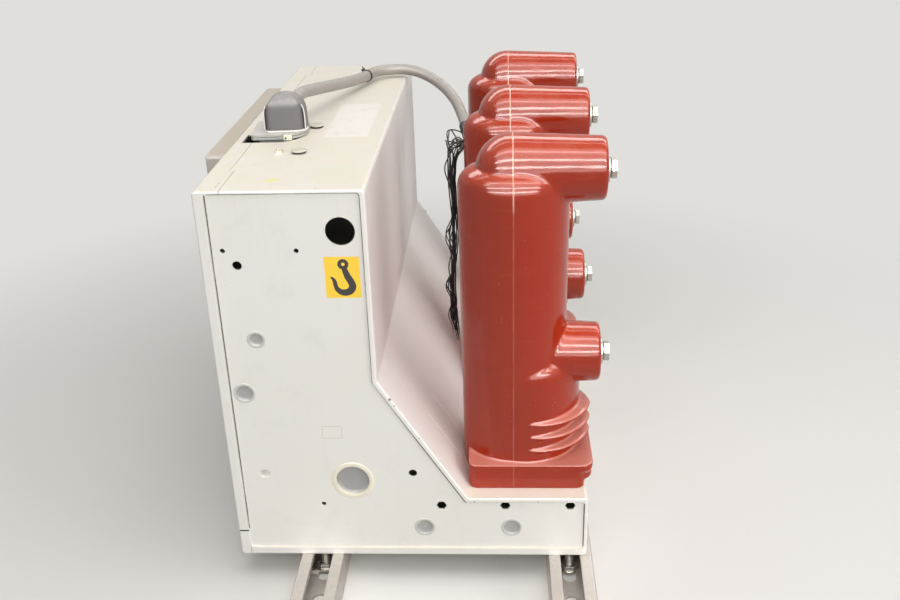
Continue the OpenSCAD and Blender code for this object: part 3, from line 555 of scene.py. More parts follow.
class Work:
    """A bmesh under work, with the operators that the pieces share."""

    def __init__(self) -> None:
        """Starts an empty mesh."""
        self.bm = bmesh.new()

    @classmethod
    def of_node(cls, node: str) -> "Work":
        """Starts from a merged copy of a CAD node with its flat faces joined."""
        work = cls()
        work.bm.from_mesh(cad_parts[node].data)
        bmesh.ops.remove_doubles(work.bm, verts=work.bm.verts, dist=MERGE_GAP)
        bmesh.ops.dissolve_limit(work.bm, angle_limit=math.radians(0.3),
                                 verts=work.bm.verts, edges=work.bm.edges)
        return work

    def box(self, low: Vector, high: Vector) -> "Work":
        """Adds a block between two corners."""
        size = high - low
        place = Matrix.Translation((low + high) / 2) @ Matrix.Diagonal((*size, 1))
        bmesh.ops.create_cube(self.bm, size=1.0, matrix=place)
        return self

    def turned(self, profile: Iterable[tuple[float, float]], place: Matrix, steps: int = 48) -> "Work":
        """Adds a piece turned round its own Z.

        Args:
            profile: Radius and height of each point of half its section, in millimetres.
            place: Where the piece goes.
            steps: Faces round the turn.

        Returns:
            This work.
        """
        verts = [self.bm.verts.new((r * MM, 0, h * MM)) for r, h in profile]
        edges = [self.bm.edges.new(pair) for pair in zip(verts, verts[1:])]
        before = set(self.bm.verts) - set(verts)
        bmesh.ops.spin(self.bm, geom=verts + edges, cent=(0, 0, 0), axis=(0, 0, 1),
                       angle=TURN, steps=steps, use_merge=True)
        made = [v for v in self.bm.verts if v not in before]
        bmesh.ops.remove_doubles(self.bm, verts=made, dist=MERGE_GAP)
        return self.settled(before, place)

    def settled(self, before: set[bmesh.types.BMVert], place: Matrix) -> "Work":
        """Turns the faces of all vertices but the earlier ones outward and moves them to a place."""
        made = [v for v in self.bm.verts if v not in before]
        faces = {f for v in made for f in v.link_faces}
        bmesh.ops.recalc_face_normals(self.bm, faces=list(faces))
        bmesh.ops.transform(self.bm, matrix=place, verts=made)
        return self

    def thickened(self, flat: list[bmesh.types.BMFace], thick: float) -> None:
        """Raises flat faces along Z by a thickness in millimetres, with walls round them."""
        raised = bmesh.ops.extrude_face_region(self.bm, geom=flat)["geom"]
        top = [v for v in raised if isinstance(v, bmesh.types.BMVert)]
        bmesh.ops.translate(self.bm, vec=(0, 0, thick * MM), verts=top)

    def plate(self, width: float, height: float, thick: float, corner: float, place: Matrix) -> "Work":
        """Adds a flat plate with round corners, its back on the place's own plane.

        Args:
            width: Size along the place's X, in millimetres.
            height: Size along its Y.
            thick: Thickness along its Z.
            corner: Corner radius.
            place: Where the plate goes.

        Returns:
            This work.
        """
        before = set(self.bm.verts)
        size = Matrix.Diagonal((width * MM, height * MM, 1, 1))
        bmesh.ops.create_grid(self.bm, x_segments=1, y_segments=1, size=0.5, matrix=size)
        rim = [v for v in self.bm.verts if v not in before]
        if corner > 0:
            bmesh.ops.bevel(self.bm, geom=rim, offset=corner * MM, affect="VERTICES", segments=6,
                            profile=0.5, material=-1, offset_type="OFFSET")
        self.thickened([f for f in self.bm.faces if not any(v in before for v in f.verts)], thick)
        return self.settled(before, place)

    def prism(self, sides: int, across: float, low: float, high: float, place: Matrix) -> "Work":
        """Adds a prism with a number of sides, from low to high along the place's Z.

        Args:
            sides: Number of sides.
            across: Millimetres between two opposite corners.
            low: Height of its lower face, in millimetres.
            high: Height of its upper face.
            place: Where the prism goes.

        Returns:
            This work.
        """
        middle = Matrix.Translation((0, 0, (low + high) / 2 * MM))
        bmesh.ops.create_cone(self.bm, cap_ends=True, segments=sides, radius1=across / 2 * MM,
                              radius2=across / 2 * MM, depth=(high - low) * MM, matrix=place @ middle)
        return self

    def flake(self, radius: float, thick: float, place: Matrix, seed: int) -> "Work":
        """Adds a thin flake with a ragged outline, its back on the place's own plane.

        Args:
            radius: Its middle radius in millimetres.
            thick: Its thickness.
            place: Where it goes.
            seed: Start of the random numbers that shape its outline.

        Returns:
            This work.
        """
        draw = random.Random(seed)
        before = set(self.bm.verts)
        disc = bmesh.ops.create_circle(self.bm, cap_ends=True, segments=14, radius=radius * MM)["verts"]
        for vert in disc:
            vert.co *= draw.uniform(0.55, 1.25)
        self.thickened(list({f for v in disc for f in v.link_faces}), thick)
        return self.settled(before, place)

    def frame(self, width: float, height: float, band: float, thick: float, corner: float,
              place: Matrix) -> "Work":
        """Adds a flat frame round an opening.

        Args:
            width: Outer size along the place's X, in millimetres.
            height: Outer size along its Y.
            band: Width of the frame's band.
            thick: Thickness along its Z.
            corner: Outer corner radius.
            place: Where the frame goes.

        Returns:
            This work.
        """
        other = Work().plate(width, height, thick, corner, Matrix.Identity(4))
        inner = [f for f in other.bm.faces if abs(f.normal.z) > 0.9]
        bmesh.ops.inset_individual(other.bm, faces=inner, thickness=band * MM)
        bmesh.ops.bridge_loops(other.bm, edges=[e for f in inner for e in f.edges])
        bmesh.ops.delete(other.bm, geom=inner, context="FACES_ONLY")
        bmesh.ops.recalc_face_normals(other.bm, faces=other.bm.faces)
        bmesh.ops.transform(other.bm, matrix=place, verts=other.bm.verts)
        join(self, other)
        return self

    def threaded(self, radius: float, low: float, high: float, pitch: float, place: Matrix) -> "Work":
        """Adds a threaded rod as a stack of ridges, from low to high along the place's Z.

        Args:
            radius: Outer radius in millimetres.
            low: Height of its lower end.
            high: Height of its upper end.
            pitch: Distance between two ridges.
            place: Where the rod goes.

        Returns:
            This work.
        """
        core = radius - 0.6 * pitch
        turns = int((high - low) / pitch)
        profile = [(0, low), (core, low)]
        for k in range(turns):
            foot = low + k * pitch
            profile += [(core, foot + 0.1 * pitch), (radius, foot + 0.45 * pitch),
                        (radius, foot + 0.6 * pitch), (core, foot + 0.95 * pitch)]
        return self.turned(profile + [(core, high), (0, high)], place, 24)

    def voxels(self, size: float) -> "Work":
        """Remeshes the work evenly, so that its joints can flow into each other as moulded."""
        mesh = bpy.data.meshes.new("casting")
        self.bm.to_mesh(mesh)
        holder = linked("casting", mesh)
        remesh = holder.modifiers.new("voxels", "REMESH")
        remesh.mode, remesh.voxel_size = "VOXEL", size * MM
        fine = baked(holder)
        self.bm.clear()
        self.bm.from_mesh(fine)
        bpy.data.meshes.remove(fine)
        return self

    def relax(self, passes: int, verts: Iterable[bmesh.types.BMVert] | None = None) -> "Work":
        """Smooths the vertices a number of times."""
        some = list(verts) if verts is not None else self.bm.verts
        for _ in range(passes):
            bmesh.ops.smooth_vert(self.bm, verts=some, factor=0.5, use_axis_x=True,
                                  use_axis_y=True, use_axis_z=True)
        return self

    def soften(self, width: float, segments: int = 2, above: float = 35.0) -> "Work":
        """Bevels the edges that turn by more than an angle.

        Args:
            width: Bevel width in millimetres.
            segments: Faces across the bevel.
            above: Angle in degrees from which an edge counts.

        Returns:
            This work.
        """
        limit = math.radians(above)
        edges = [e for e in self.bm.edges if len(e.link_faces) == 2 and e.calc_face_angle(0) > limit]
        bmesh.ops.bevel(self.bm, geom=edges, offset=width * MM, affect="EDGES", segments=segments,
                        profile=0.5, material=-1, clamp_overlap=True)
        return self

    def finish(self, name: str, finish: Finish, stands_for: Sequence[str] = (),
               sharp: float = 40.0) -> bpy.types.Object:
        """Hands the mesh over as a piece that rides on the frame.

        Args:
            name: The piece's name.
            finish: Its finish.
            stands_for: CAD nodes that it replaces.
            sharp: Angle in degrees from which an edge stays sharp.

        Returns:
            The new object.
        """
        mesh = bpy.data.meshes.new(name)
        self.bm.to_mesh(mesh)
        self.bm.free()
        mesh.polygons.foreach_set("use_smooth", [True] * len(mesh.polygons))
        mesh.set_sharp_from_angle(angle=math.radians(sharp))
        return hand_over(mesh, name, finish, stands_for)


def hand_over(mesh: bpy.types.Mesh, name: str, finish: Finish,
              stands_for: Sequence[str] = ()) -> bpy.types.Object:
    """Makes a mesh a piece of the object.

    Args:
        mesh: The finished mesh, with its place in it.
        name: The piece's name.
        finish: Its finish.
        stands_for: CAD nodes that it replaces.

    Returns:
        The new object.
    """
    piece = linked(name, mesh)
    mesh.materials.clear()
    mesh.materials.append(finish.material())
    even = piece.modifiers.new("even_normals", "WEIGHTED_NORMAL")
    even.keep_sharp = True
    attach(piece, BODY)
    if stands_for:
        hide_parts(*stands_for)
    LOG.info("%s: %d faces", name, len(mesh.polygons))
    return piece


def dress_node(node: str, name: str, finish: Finish, bevel: tuple[float, int, float],
               sharp: float = 40.0) -> None:
    """Hands over a softened copy of a CAD node in its place.

    Args:
        node: The CAD node.
        name: The piece's name.
        finish: Its finish.
        bevel: Width, faces and least angle of its softened edges, as soften() takes them.
        sharp: Angle in degrees from which an edge stays sharp.
    """
    Work.of_node(node).soften(*bevel).finish(name, finish, [node], sharp)


def smooth_line(points: Sequence[Vector], steps: int = 4) -> list[Vector]:
    """Draws the smooth curve through a cord's points.

    Args:
        points: The points that it passes.
        steps: Pieces between two points.

    Returns:
        The points of the finer line.
    """
    line = []
    last = len(points) - 1
    for i in range(last):
        a, b = points[max(i - 1, 0)], points[i]
        c, d = points[i + 1], points[min(i + 2, last)]
        for k in range(steps):
            t = k / steps
            line.append(0.5 * (2 * b + (c - a) * t + (2 * a - 5 * b + 4 * c - d) * t ** 2
                               + (3 * b - a - 3 * c + d) * t ** 3))
    return line + [points[last]]


def swept(name: str, lines: Sequence[Sequence[Vector]], half: float, sides: int) -> bpy.types.Mesh:
    """Sweeps a round section along lines.

    Args:
        name: The mesh's name.
        lines: The centrelines, with a fourth value for the share of the section where it swells.
        half: The section's radius in metres.
        sides: A quarter of the faces round it.

    Returns:
        The swept mesh.
    """
    curve = bpy.data.curves.new(name, "CURVE")
    curve.dimensions = "3D"
    curve.bevel_depth = half
    curve.bevel_resolution = sides - 1
    curve.use_fill_caps = True
    for line in lines:
        spline = curve.splines.new("POLY")
        spline.points.add(len(line) - 1)
        for knot, (x, y, z, *share) in zip(spline.points, line):
            knot.co = (x, y, z, 1)
            knot.radius = share[0] if share else 1.0
    mesh = baked(linked(name + "_line", curve))
    mesh.name = name
    return mesh


def tube(name: str, line: Sequence[Vector], diameter: float, finish: Finish, sides: int = 4,
         stands_for: Sequence[str] = ()) -> bpy.types.Object:
    """Lays a round tube along a line.

    Args:
        name: The piece's name.
        line: Its centreline.
        diameter: Its diameter in metres.
        finish: Its finish.
        sides: A quarter of the faces round it.
        stands_for: CAD nodes that it replaces.

    Returns:
        The tube as a mesh piece.
    """
    mesh = swept(name, [line], diameter / 2, sides)
    mesh.polygons.foreach_set("use_smooth", [True] * len(mesh.polygons))
    mesh.set_sharp_from_angle(angle=math.radians(50))
    return hand_over(mesh, name, finish, stands_for)


@dataclass
class Studio:
    """The floor, the backdrop, the lamps and the camera, all in metres of the frame.

    A box is (name, place, size, watts). It lights the object evenly and shows in no gloss. A tube is
    (degrees round the poles' arms, width, watts) and the haze adds its distance. They show only in
    the gloss.
    """

    eye: Vector = field(default_factory=lambda: Vector((1.162, 0.0975, 0.748)))
    azimuth: float = 93.133
    elevation: float = 24.814
    roll: float = -1.724
    lens: float = 39.6
    floor_tone: tuple[float, float, float, float] = paint(224, 223, 220)
    floor_bounce: tuple[float, float, float, float] = paint(150, 146, 139)
    floor_glow: float = 1.0
    floor_half: float = 30.0
    floor_gap: float = 0.0005
    room_light: float = 0.3
    room_shown: float = 0.74
    room_tone: tuple[float, float, float, float] = (1.0, 0.99, 0.975, 1.0)
    floor_fade: tuple[float, float] = (0.5, 1.2)
    light_tone: tuple[float, float, float] = (1.0, 0.988, 0.973)
    boxes: tuple[tuple[str, tuple[float, float, float], tuple[float, float], float], ...] = (
        ("side_box", (2.7, 0.1, 1.8), (3.2, 1.4), 36), ("top_box", (0.7, 0.6, 3.3), (3.2, 2.4), 54),
        ("back_box", (0.5, 2.7, 0.8), (2.4, 1.8), 30), ("gap_box", (1.8, 2.2, 0.6), (1.4, 1.2), 20),
        ("low_box", (2.1, -0.2, 0.3), (1.6, 0.6), 2.5))
    middle: Vector = field(default_factory=lambda: Vector((0, 0, 0.25)))
    gloss_centre: Vector = field(default_factory=lambda: Vector((0.1, 0.1, 0.4)))
    tube_reach: float = 3.0
    tube_length: float = 7.0
    tubes: tuple[tuple[float, float, float], ...] = (
        (6.5, 0.15, 18), (20, 0.3, 130), (43, 0.3, 130), (70, 0.25, 48), (108, 0.15, 22), (131, 0.8, 110))
    haze: tuple[float, float, float, float] = (45, 3.4, 5.4, 400)

    def camera(self) -> None:
        """Puts the camera at the photograph's angle."""
        az, el, roll = (math.radians(a) for a in (self.azimuth, self.elevation, self.roll))
        ahead = Vector((-math.sin(az) * math.cos(el), math.cos(az) * math.cos(el), -math.sin(el)))
        right = Vector((math.cos(az), math.sin(az), 0))
        up = right.cross(ahead)
        right, up = (math.cos(roll) * right + math.sin(roll) * up,
                     math.cos(roll) * up - math.sin(roll) * right)
        data = bpy.data.cameras.new("camera")
        data.lens, data.sensor_width = self.lens, 36.0
        data.clip_start, data.clip_end = 0.02, 60.0
        camera = linked("camera", data)
        turn = Matrix((right, up, -ahead)).transposed().to_4x4()
        camera.matrix_world = Matrix.Translation(self.eye) @ turn
        bpy.context.scene.camera = camera

    def lamp(self, name: str, place: Vector, target: Vector, size: tuple[float, float], watts: float,
             along: Vector = UP) -> bpy.types.Object:
        """Adds one soft rectangular lamp.

        Args:
            name: The lamp's name.
            place: Where it hangs.
            target: The point that it looks at.
            size: Its width and length in metres.
            watts: Its power.
            along: The way its length runs.

        Returns:
            The lamp.
        """
        data = bpy.data.lights.new(name, "AREA")
        data.shape, data.size, data.size_y = "RECTANGLE", size[0], size[1]
        data.energy, data.color = watts, self.light_tone
        lamp = linked(name, data)
        lamp.matrix_world = facing(place, place - target, along)
        return lamp

    def ground(self) -> None:
        """Lays the pale floor, which shows as a plain tone and keeps the shadow."""
        work = bmesh.new()
        bmesh.ops.create_grid(work, x_segments=1, y_segments=1, size=self.floor_half,
                              matrix=Matrix.Translation((0, 0, -self.floor_gap)))
        mesh = bpy.data.meshes.new("floor")
        work.to_mesh(mesh)
        work.free()
        floor = linked("floor", mesh)
        shader = Shader("floor_tone")
        tone = shader.blend(shader.seen(), self.floor_bounce, self.floor_tone)
        shader.set(Base_Color=tone, Roughness=0.85, Specular_IOR_Level=0.1)
        away = shader.node("ShaderNodeVectorMath", {"operation": "LENGTH"})
        shader.feed(away, 0, shader.place)
        share = shader.times(shader.span(away.outputs["Value"], *self.floor_fade), shader.seen())
        plain = shader.node("ShaderNodeEmission", Color=self.floor_tone, Strength=self.floor_glow)
        mixed = shader.node("ShaderNodeMixShader", Fac=share)
        shader.feed(mixed, 1, shader.surface.outputs[0])
        shader.feed(mixed, 2, plain.outputs[0])
        shader.feed(shader.tree.nodes["Material Output"], "Surface", mixed.outputs[0])
        mesh.materials.append(shader.material)

    def world(self) -> None:
        """Fills the room with a plain pale light."""
        world = bpy.data.worlds.new("room")
        bpy.context.scene.world = world
        world.use_nodes = True
        nodes = Nodes(world.node_tree)
        back = nodes.tree.nodes["Background"]
        nodes.feed(back, "Strength", nodes.span(nodes.seen(), 0, 1, self.room_light, self.room_shown))
        nodes.feed(back, "Color", self.room_tone)

    def build(self) -> None:
        """Sets up the room and its light: soft boxes, and strips that draw the gloss of the poles."""
        self.ground()
        self.world()
        for number, (angle, width, watts) in enumerate(self.tubes):
            self.gloss_lamp(f"ceiling_tube_{number + 1}", angle, self.tube_reach, width, watts)
        self.gloss_lamp("ceiling_haze", *self.haze)
        for name, place, size, watts in self.boxes:
            self.lamp(name, Vector(place), self.middle, size, watts).visible_glossy = False
        bpy.context.scene.view_settings.view_transform = "Standard"

    def gloss_lamp(self, name: str, angle: float, reach: float, width: float, watts: float) -> None:
        """Hangs a lamp along the poles' arms that shows in the gloss and lights nothing else.

        Args:
            name: The lamp's name.
            angle: How far round it hangs, in degrees from the right side up.
            reach: How far out it hangs.
            width: Its width across the arms.
            watts: Its power.
        """
        tilt = math.radians(angle)
        place = Vector((math.cos(tilt), 0, math.sin(tilt))) * reach + self.gloss_centre
        size = (width, self.tube_length)
        lamp = self.lamp(name, place, self.gloss_centre, size, watts, BACK)
        lamp.visible_diffuse = False


@dataclass
class ControlCable:
    """The control hose with its tie and sleeve, and the loose wires that leave it.

    Both routes repeat the points of the CAD. All other sizes are metres or shares of a wire's length:
    the wires lie in layers round the bundle's line, which swells at a share by a width, and a stray is
    (wire, share where it bows out, how far).
    """

    diameter: float = 0.014
    wire_diameter: float = 0.0016
    wires: int = 16
    sleeve_end: float = 24.0  # millimetres
    route: tuple[tuple[float, float, float], ...] = (
        (67.4, 57.6, 456.2), (50.0, 60.8, 458.6), (29, 65, 459.8), (6, 72.5, 457.5), (-34, 83.5, 452),
        (-84, 95.5, 445), (-124, 107, 440.5), (-157, 115.5, 438), (-185, 125, 437.5), (-198, 143, 437),
        (-201, 163, 436.5), (-195, 184, 433), (-182, 205, 425), (-165, 222, 415), (-145, 235, 403),
        (-124, 244, 388), (-103, 250, 375))
    wire_route: tuple[tuple[float, float, float], ...] = (
        (-66, 255, 366), (-53, 250, 374), (-41, 243, 380), (-30, 238, 378), (-23, 236, 365),
        (-19, 235, 340), (-15, 236, 310), (-12, 237, 275), (-9, 236, 240), (-8, 234, 207),
        (-9, 233, 175), (-12, 234, 145), (-16, 237, 119))
    tie_point: int = 7
    layers: tuple[float, ...] = (0.0014, 0.0042, 0.0028)
    swell: tuple[float, float] = (0.27, 0.13)
    stray_width: float = 0.034
    strays: tuple[tuple[int, float, float], ...] = (
        (2, 0.63, -0.0085), (7, 0.642, -0.0099), (12, 0.63, -0.0085), (4, 0.79, -0.0094), (9, 0.79, -0.0085),
        (13, 0.79, -0.0094))

    def hose(self) -> None:
        """Lays the hose, its sleeve, its tie and the pale collar at its start."""
        points = [cab(*p) for p in self.route]
        line = smooth_line(points, 6)
        hose = tube("control_hose_skin", line, self.diameter, HOSE_GREY, 8, ["control_hose"])
        carried = [self.sleeve(points), self.tie(points), self.collar(points)]

    def collar(self, points: Sequence[Vector]) -> bpy.types.Object:
        """Shapes the pale collar that grips the hose where it leaves the hood."""
        profile = [(7.1, 4.4), (9.0, 4.4), (9.7, 5.0), (9.9, 6.4), (9.4, 7.6), (8.6, 8.2), (7.1, 8.4),
                   (7.1, 4.4)]
        work = Work().turned(profile, facing(points[0], points[1] - points[0]), 40)
        return work.finish("hose_collar", IVORY)

    def sleeve(self, points: Sequence[Vector]) -> bpy.types.Object:
        """Shapes the shrink sleeve over the hose's end."""
        outer, inner = 8.35, 7.1
        profile = [(inner, -12), (outer - 0.5, -12), (outer, -11), (outer + 0.1, -3), (outer - 0.3, 2),
                   (outer - 0.1, 8), (outer - 0.5, 16), (outer - 0.4, 21),
                   (outer - 0.9, self.sleeve_end - 0.4), (6.4, self.sleeve_end),
                   (5.2, self.sleeve_end - 0.8), (0, self.sleeve_end - 1.2)]
        work = Work().turned(profile, facing(points[-1], points[-1] - points[-2]), 32)
        return work.finish("hose_end_sleeve", RUBBER, ["hose_sleeve"])

    def tie(self, points: Sequence[Vector]) -> bpy.types.Object:
        """Shapes the cable tie round the hose: strap, small round head and cut tail."""
        step = self.tie_point
        place = facing(points[step], points[step + 1] - points[step - 1], Vector((0, -0.6, 1)))
        inner, outer = 7.08, 8.1
        work = Work().turned([(inner, -1.7), (outer - 0.2, -1.7), (outer, -1.4), (outer, 1.4),
                              (outer - 0.2, 1.7), (inner, 1.7), (inner, -1.7)], place, 40)
        head = Work().box(Vector((-2.4, -0.6, -2.3)) * MM, Vector((2.3, 2.6, 2.3)) * MM).soften(1.1, 3)
        join(head, Work().box(Vector((-1.3, 2.2, -1.5)) * MM, Vector((-0.5, 4.6, 1.5)) * MM).soften(0.3))
        on_strap = place @ Matrix.Translation((0, outer * MM, 0))
        bmesh.ops.transform(head.bm, matrix=on_strap, verts=head.bm.verts)
        join(work, head)
        return work.finish("hose_tie_strap", RUBBER, ["hose_tie"])

    def bundle(self) -> None:
        """Lays the loose wires round the bundle's route, with strays that bow out of it."""
        draw = random.Random(11)
        start = cab(*self.route[-1])
        ahead = (start - cab(*self.route[-2])).normalized()
        first = start + ahead * (self.sleeve_end - 1.5) * MM
        spine = smooth_line([first] + [cab(*p) for p in self.wire_route], 4)
        for number in range(self.wires):
            self.wire(number, self.strand(number, spine, draw))

    def strand(self, number: int, spine: Sequence[Vector], draw: random.Random) -> list[Vector]:
        """Draws one wire's line beside the bundle's own.

        Args:
            number: The wire's number.
            spine: The bundle's centreline.
            draw: Random numbers.

        Returns:
            The wire's centreline.
        """
        angle = TURN * number / self.wires + draw.uniform(-0.3, 0.3)
        reach = self.layers[number % len(self.layers)]
        phase, pace = draw.uniform(0, TURN), draw.uniform(1.6, 4.2)
        hump, lift = draw.uniform(0.002, 0.011), draw.uniform(-0.008, 0.006)
        bows = [(draw.uniform(0.42, 0.92), draw.uniform(0.025, 0.05), draw.uniform(-0.0055, 0.0035))
                for _ in range(3)]
        bows += [(middle, self.stray_width, size) for wire, middle, size in self.strays if wire == number]
        curl = (draw.uniform(0.16, 0.36), draw.uniform(0.04, 0.06),
                draw.uniform(0.0035, 0.0065) * (number % 2))
        last = len(spine) - 1
        stop = last - (number * 2) % 6
        line = []
        for k, point in enumerate(spine[:stop + 1]):
            share = k / last
            way = (spine[min(k + 1, last)] - spine[max(k - 1, 0)]).normalized()
            across = way.cross(BACK).normalized()
            other = across.cross(way)
            fan = min(1.0, share * 12)
            swell = math.exp(-((share - self.swell[0]) / self.swell[1]) ** 2)
            spread = fan * (reach + hump * swell) + 0.0018 * (1 - fan)
            turn = angle + 1.6 * math.sin(phase + share * pace * 2.6)
            shift = (across * math.cos(turn) + other * math.sin(turn)) * spread
            shift += Vector((0, -0.0025 * fan, lift * swell))
            for middle, width, size in bows:
                shift.y += size * math.exp(-((share - middle) / width) ** 2)
            middle, width, size = curl
            round_share = (share - middle) / width
            if abs(round_share) < 1:
                loop = way * math.sin(math.pi * round_share) + other * math.cos(math.pi * round_share)
                shift += loop * size * (1 - round_share ** 2) ** 2
            line.append(point + shift)
        return smooth_line(line, 2)

    def wire(self, number: int, line: list[Vector]) -> None:
        """Lays one wire and its crimped end.

        Args:
            number: The wire's number.
            line: Its centreline.
        """
        name = f"control_wire_{number + 1}"
        stands_for = ["wire_bundle"] if number == 0 else ()
        wire = tube(name, line, self.wire_diameter, WIRE_SKIN, 2, stands_for)
        profile = [(0, 5.2), (0.75, 5.2), (0.8, 5.0), (0.8, 1.0), (1.3, 0.2), (1.3, -1.2), (0.9, -1.4),
                   (0, -1.4)]
        place = facing(line[-1], line[-1] - line[-3])
        crimp = Work().turned(profile, place, 12).finish(f"wire_crimp_{number + 1}", BOLT_ZINC)


def join(work: Work, other: Work) -> None:
    """Adds another mesh under work to the first one.

    Args:
        work: The mesh that grows.
        other: The mesh that is added and freed.
    """
    mesh = bpy.data.meshes.new("join")
    other.bm.to_mesh(mesh)
    other.bm.free()
    work.bm.from_mesh(mesh)
    bpy.data.meshes.remove(mesh)


@dataclass
class Cabinet:
    """The folded sheets of the cabinet, its plugs and its cap.

    A plug is (distance from the front, height, share of the full plug). face_x is the side panel's
    outer face and rim_x the rims' one.
    """

    face_x: float = 282.5
    rim_x: float = 285.0
    plugs: tuple[tuple[float, float, float], ...] = (
        (45, 268, 0.83), (26, 206, 1), (207, 36.5, 1), (302, 36.5, 1))
    plug_d: float = 23.0
    access: tuple[float, float] = (131.5, 97.5)
    access_d: float = 37.0
    ring_d: float = 46.0
    top_z: float = 426.0
    shade_width: float = 1.3
    relief: tuple[tuple[float, float, float], ...] = ((284.3, 1.2, 31.3), (284.8, 11.4, 32.7))
    # Lines of painted shade under the rims and in the front seam, by distance from the front and height
    shade_lines: tuple[tuple[Finish, tuple[tuple[float, float], ...]], ...] = (
        (CORNER_SHADE, ((11.9, 34), (11.9, 130), (11.9, 250), (11.9, 340), (11.9, 421))),
        (CORNER_SHADE, ((15, 422.4), (90, 422.4), (156, 422.4), (158.6, 421.6), (159.6, 419), (159.7, 320),
                 (159.7, 219))),
        (FOOT_SHADE, ((159.4, 219), (205.4, 144.2), (251.9, 69.9), (318, 69.9), (379, 69.9), (380, 69),
                      (380.1, 12))))

    def sheets(self) -> None:
        """Dresses the sheets, with softened rims and folds that read as round."""
        for width, nodes in ((0.35, ("front_panel", "top_panel", "rear_panel", "bottom_pan")),
                             (0.4, ("right_side_panel", "left_side_panel"))):
            for node in nodes:
                dress_node(node, node + "_sheet", CREAM, (width, 2, 60), 30)

    def on_side(self, side: Side, y: float, z: float, x: float | None = None) -> Matrix:
        """Gives a place on a side panel's outer face, or x out from the middle, +Z out and +Y up."""
        return facing(cab(side.value * (x or self.face_x), y, z), Vector((side.value, 0, 0)))

    def on_top(self, x: float, y: float) -> Matrix:
        """Gives a place on the top, +Z up."""
        return facing(cab(x, y, self.top_z), UP, BACK)

    def grime(self, side: Side) -> None:
        """Lays dark lines of painted shade in the corners between a side panel and the rims round it, and a
        thin dark box of painted shadow at the relief.
        """
        for number, (shade_finish, line) in enumerate(self.shade_lines):
            points = [cab(side.value * self.face_x, y, z) for y, z in line]
            tube(f"{side.word}_rim_grime_{number + 1}", points, self.shade_width * MM, shade_finish, 2)
        low, high = (cab(side.value * x, y, z) for x, y, z in self.relief)
        Work().box(low, high).finish(f"{side.word}_relief_shadow", INK)

    def hole_plugs(self, side: Side) -> None:
        """Shapes the frosted plugs of one side: a rounded rim round a dish with its gate mark."""
        rim, dish = Work(), Work()
        for y, z, share in self.plugs:
            r = self.plug_d * share / 2
            place = self.on_side(side, y, z)
            rim.turned([(r - 3.0, 0.1), (r - 2.2, 0.45), (r - 1.2, 0.6), (r - 0.4, 0.45), (r, 0.15), (r, 0),
                        (r - 2.3, 0), (r - 2.3, -2.4), (r - 3.0, -2.4), (r - 3.0, 0.1)], place, 48)
            dish.turned([(0, -0.35), (0.7, -0.3), (1.1, -0.95), (r * 0.45, -1.0), (r - 3.6, -0.45),
                         (r - 2.8, 0.42), (r - 2.8, -1.9), (0, -2.0)], place, 48)
        node = f"{side.word}_hole_plugs"
        rim.finish(node + "_rims", FROST, [node], 50)
        dish.finish(node + "_dishes", FROST_DISH, (), 50)

    def access_hole(self, side: Side) -> None:
        """Shapes the large cap, sunk in its ivory ring."""
        place = self.on_side(side, *self.access)
        r, ring = self.access_d / 2, self.ring_d / 2
        Work().turned([(r - 0.6, -5.6), (r - 0.6, 0.4), (r - 0.2, 0.75), (ring - 3.2, 0.85),
                       (ring - 1.4, 0.7), (ring - 0.2, 0.3), (ring, 0.0), (r + 0.2, 0.0), (r + 0.2, -5.6),
                       (r - 0.6, -5.6)],
                      place, 72).finish(f"{side.word}_access_ring_moulded", IVORY,
                                        [f"{side.word}_access_ring"], 50)
        Work().turned([(0, -4.3), (r * 0.55, -4.35), (r - 3.4, -4.6), (r - 2.2, -4.3), (r - 1.2, -3.6),
                       (r - 0.7, -3.5), (r - 0.7, -5.4), (0, -5.6)],
                      place, 72).finish(f"{side.word}_access_cap_moulded", CAP_FROST,
                                        [f"{side.word}_access_cap"], 50)

    def build(self) -> None:
        """Builds all of the cabinet's pieces."""
        self.sheets()
        for side in Side:
            self.grime(side)
            self.hole_plugs(side)
            self.access_hole(side)


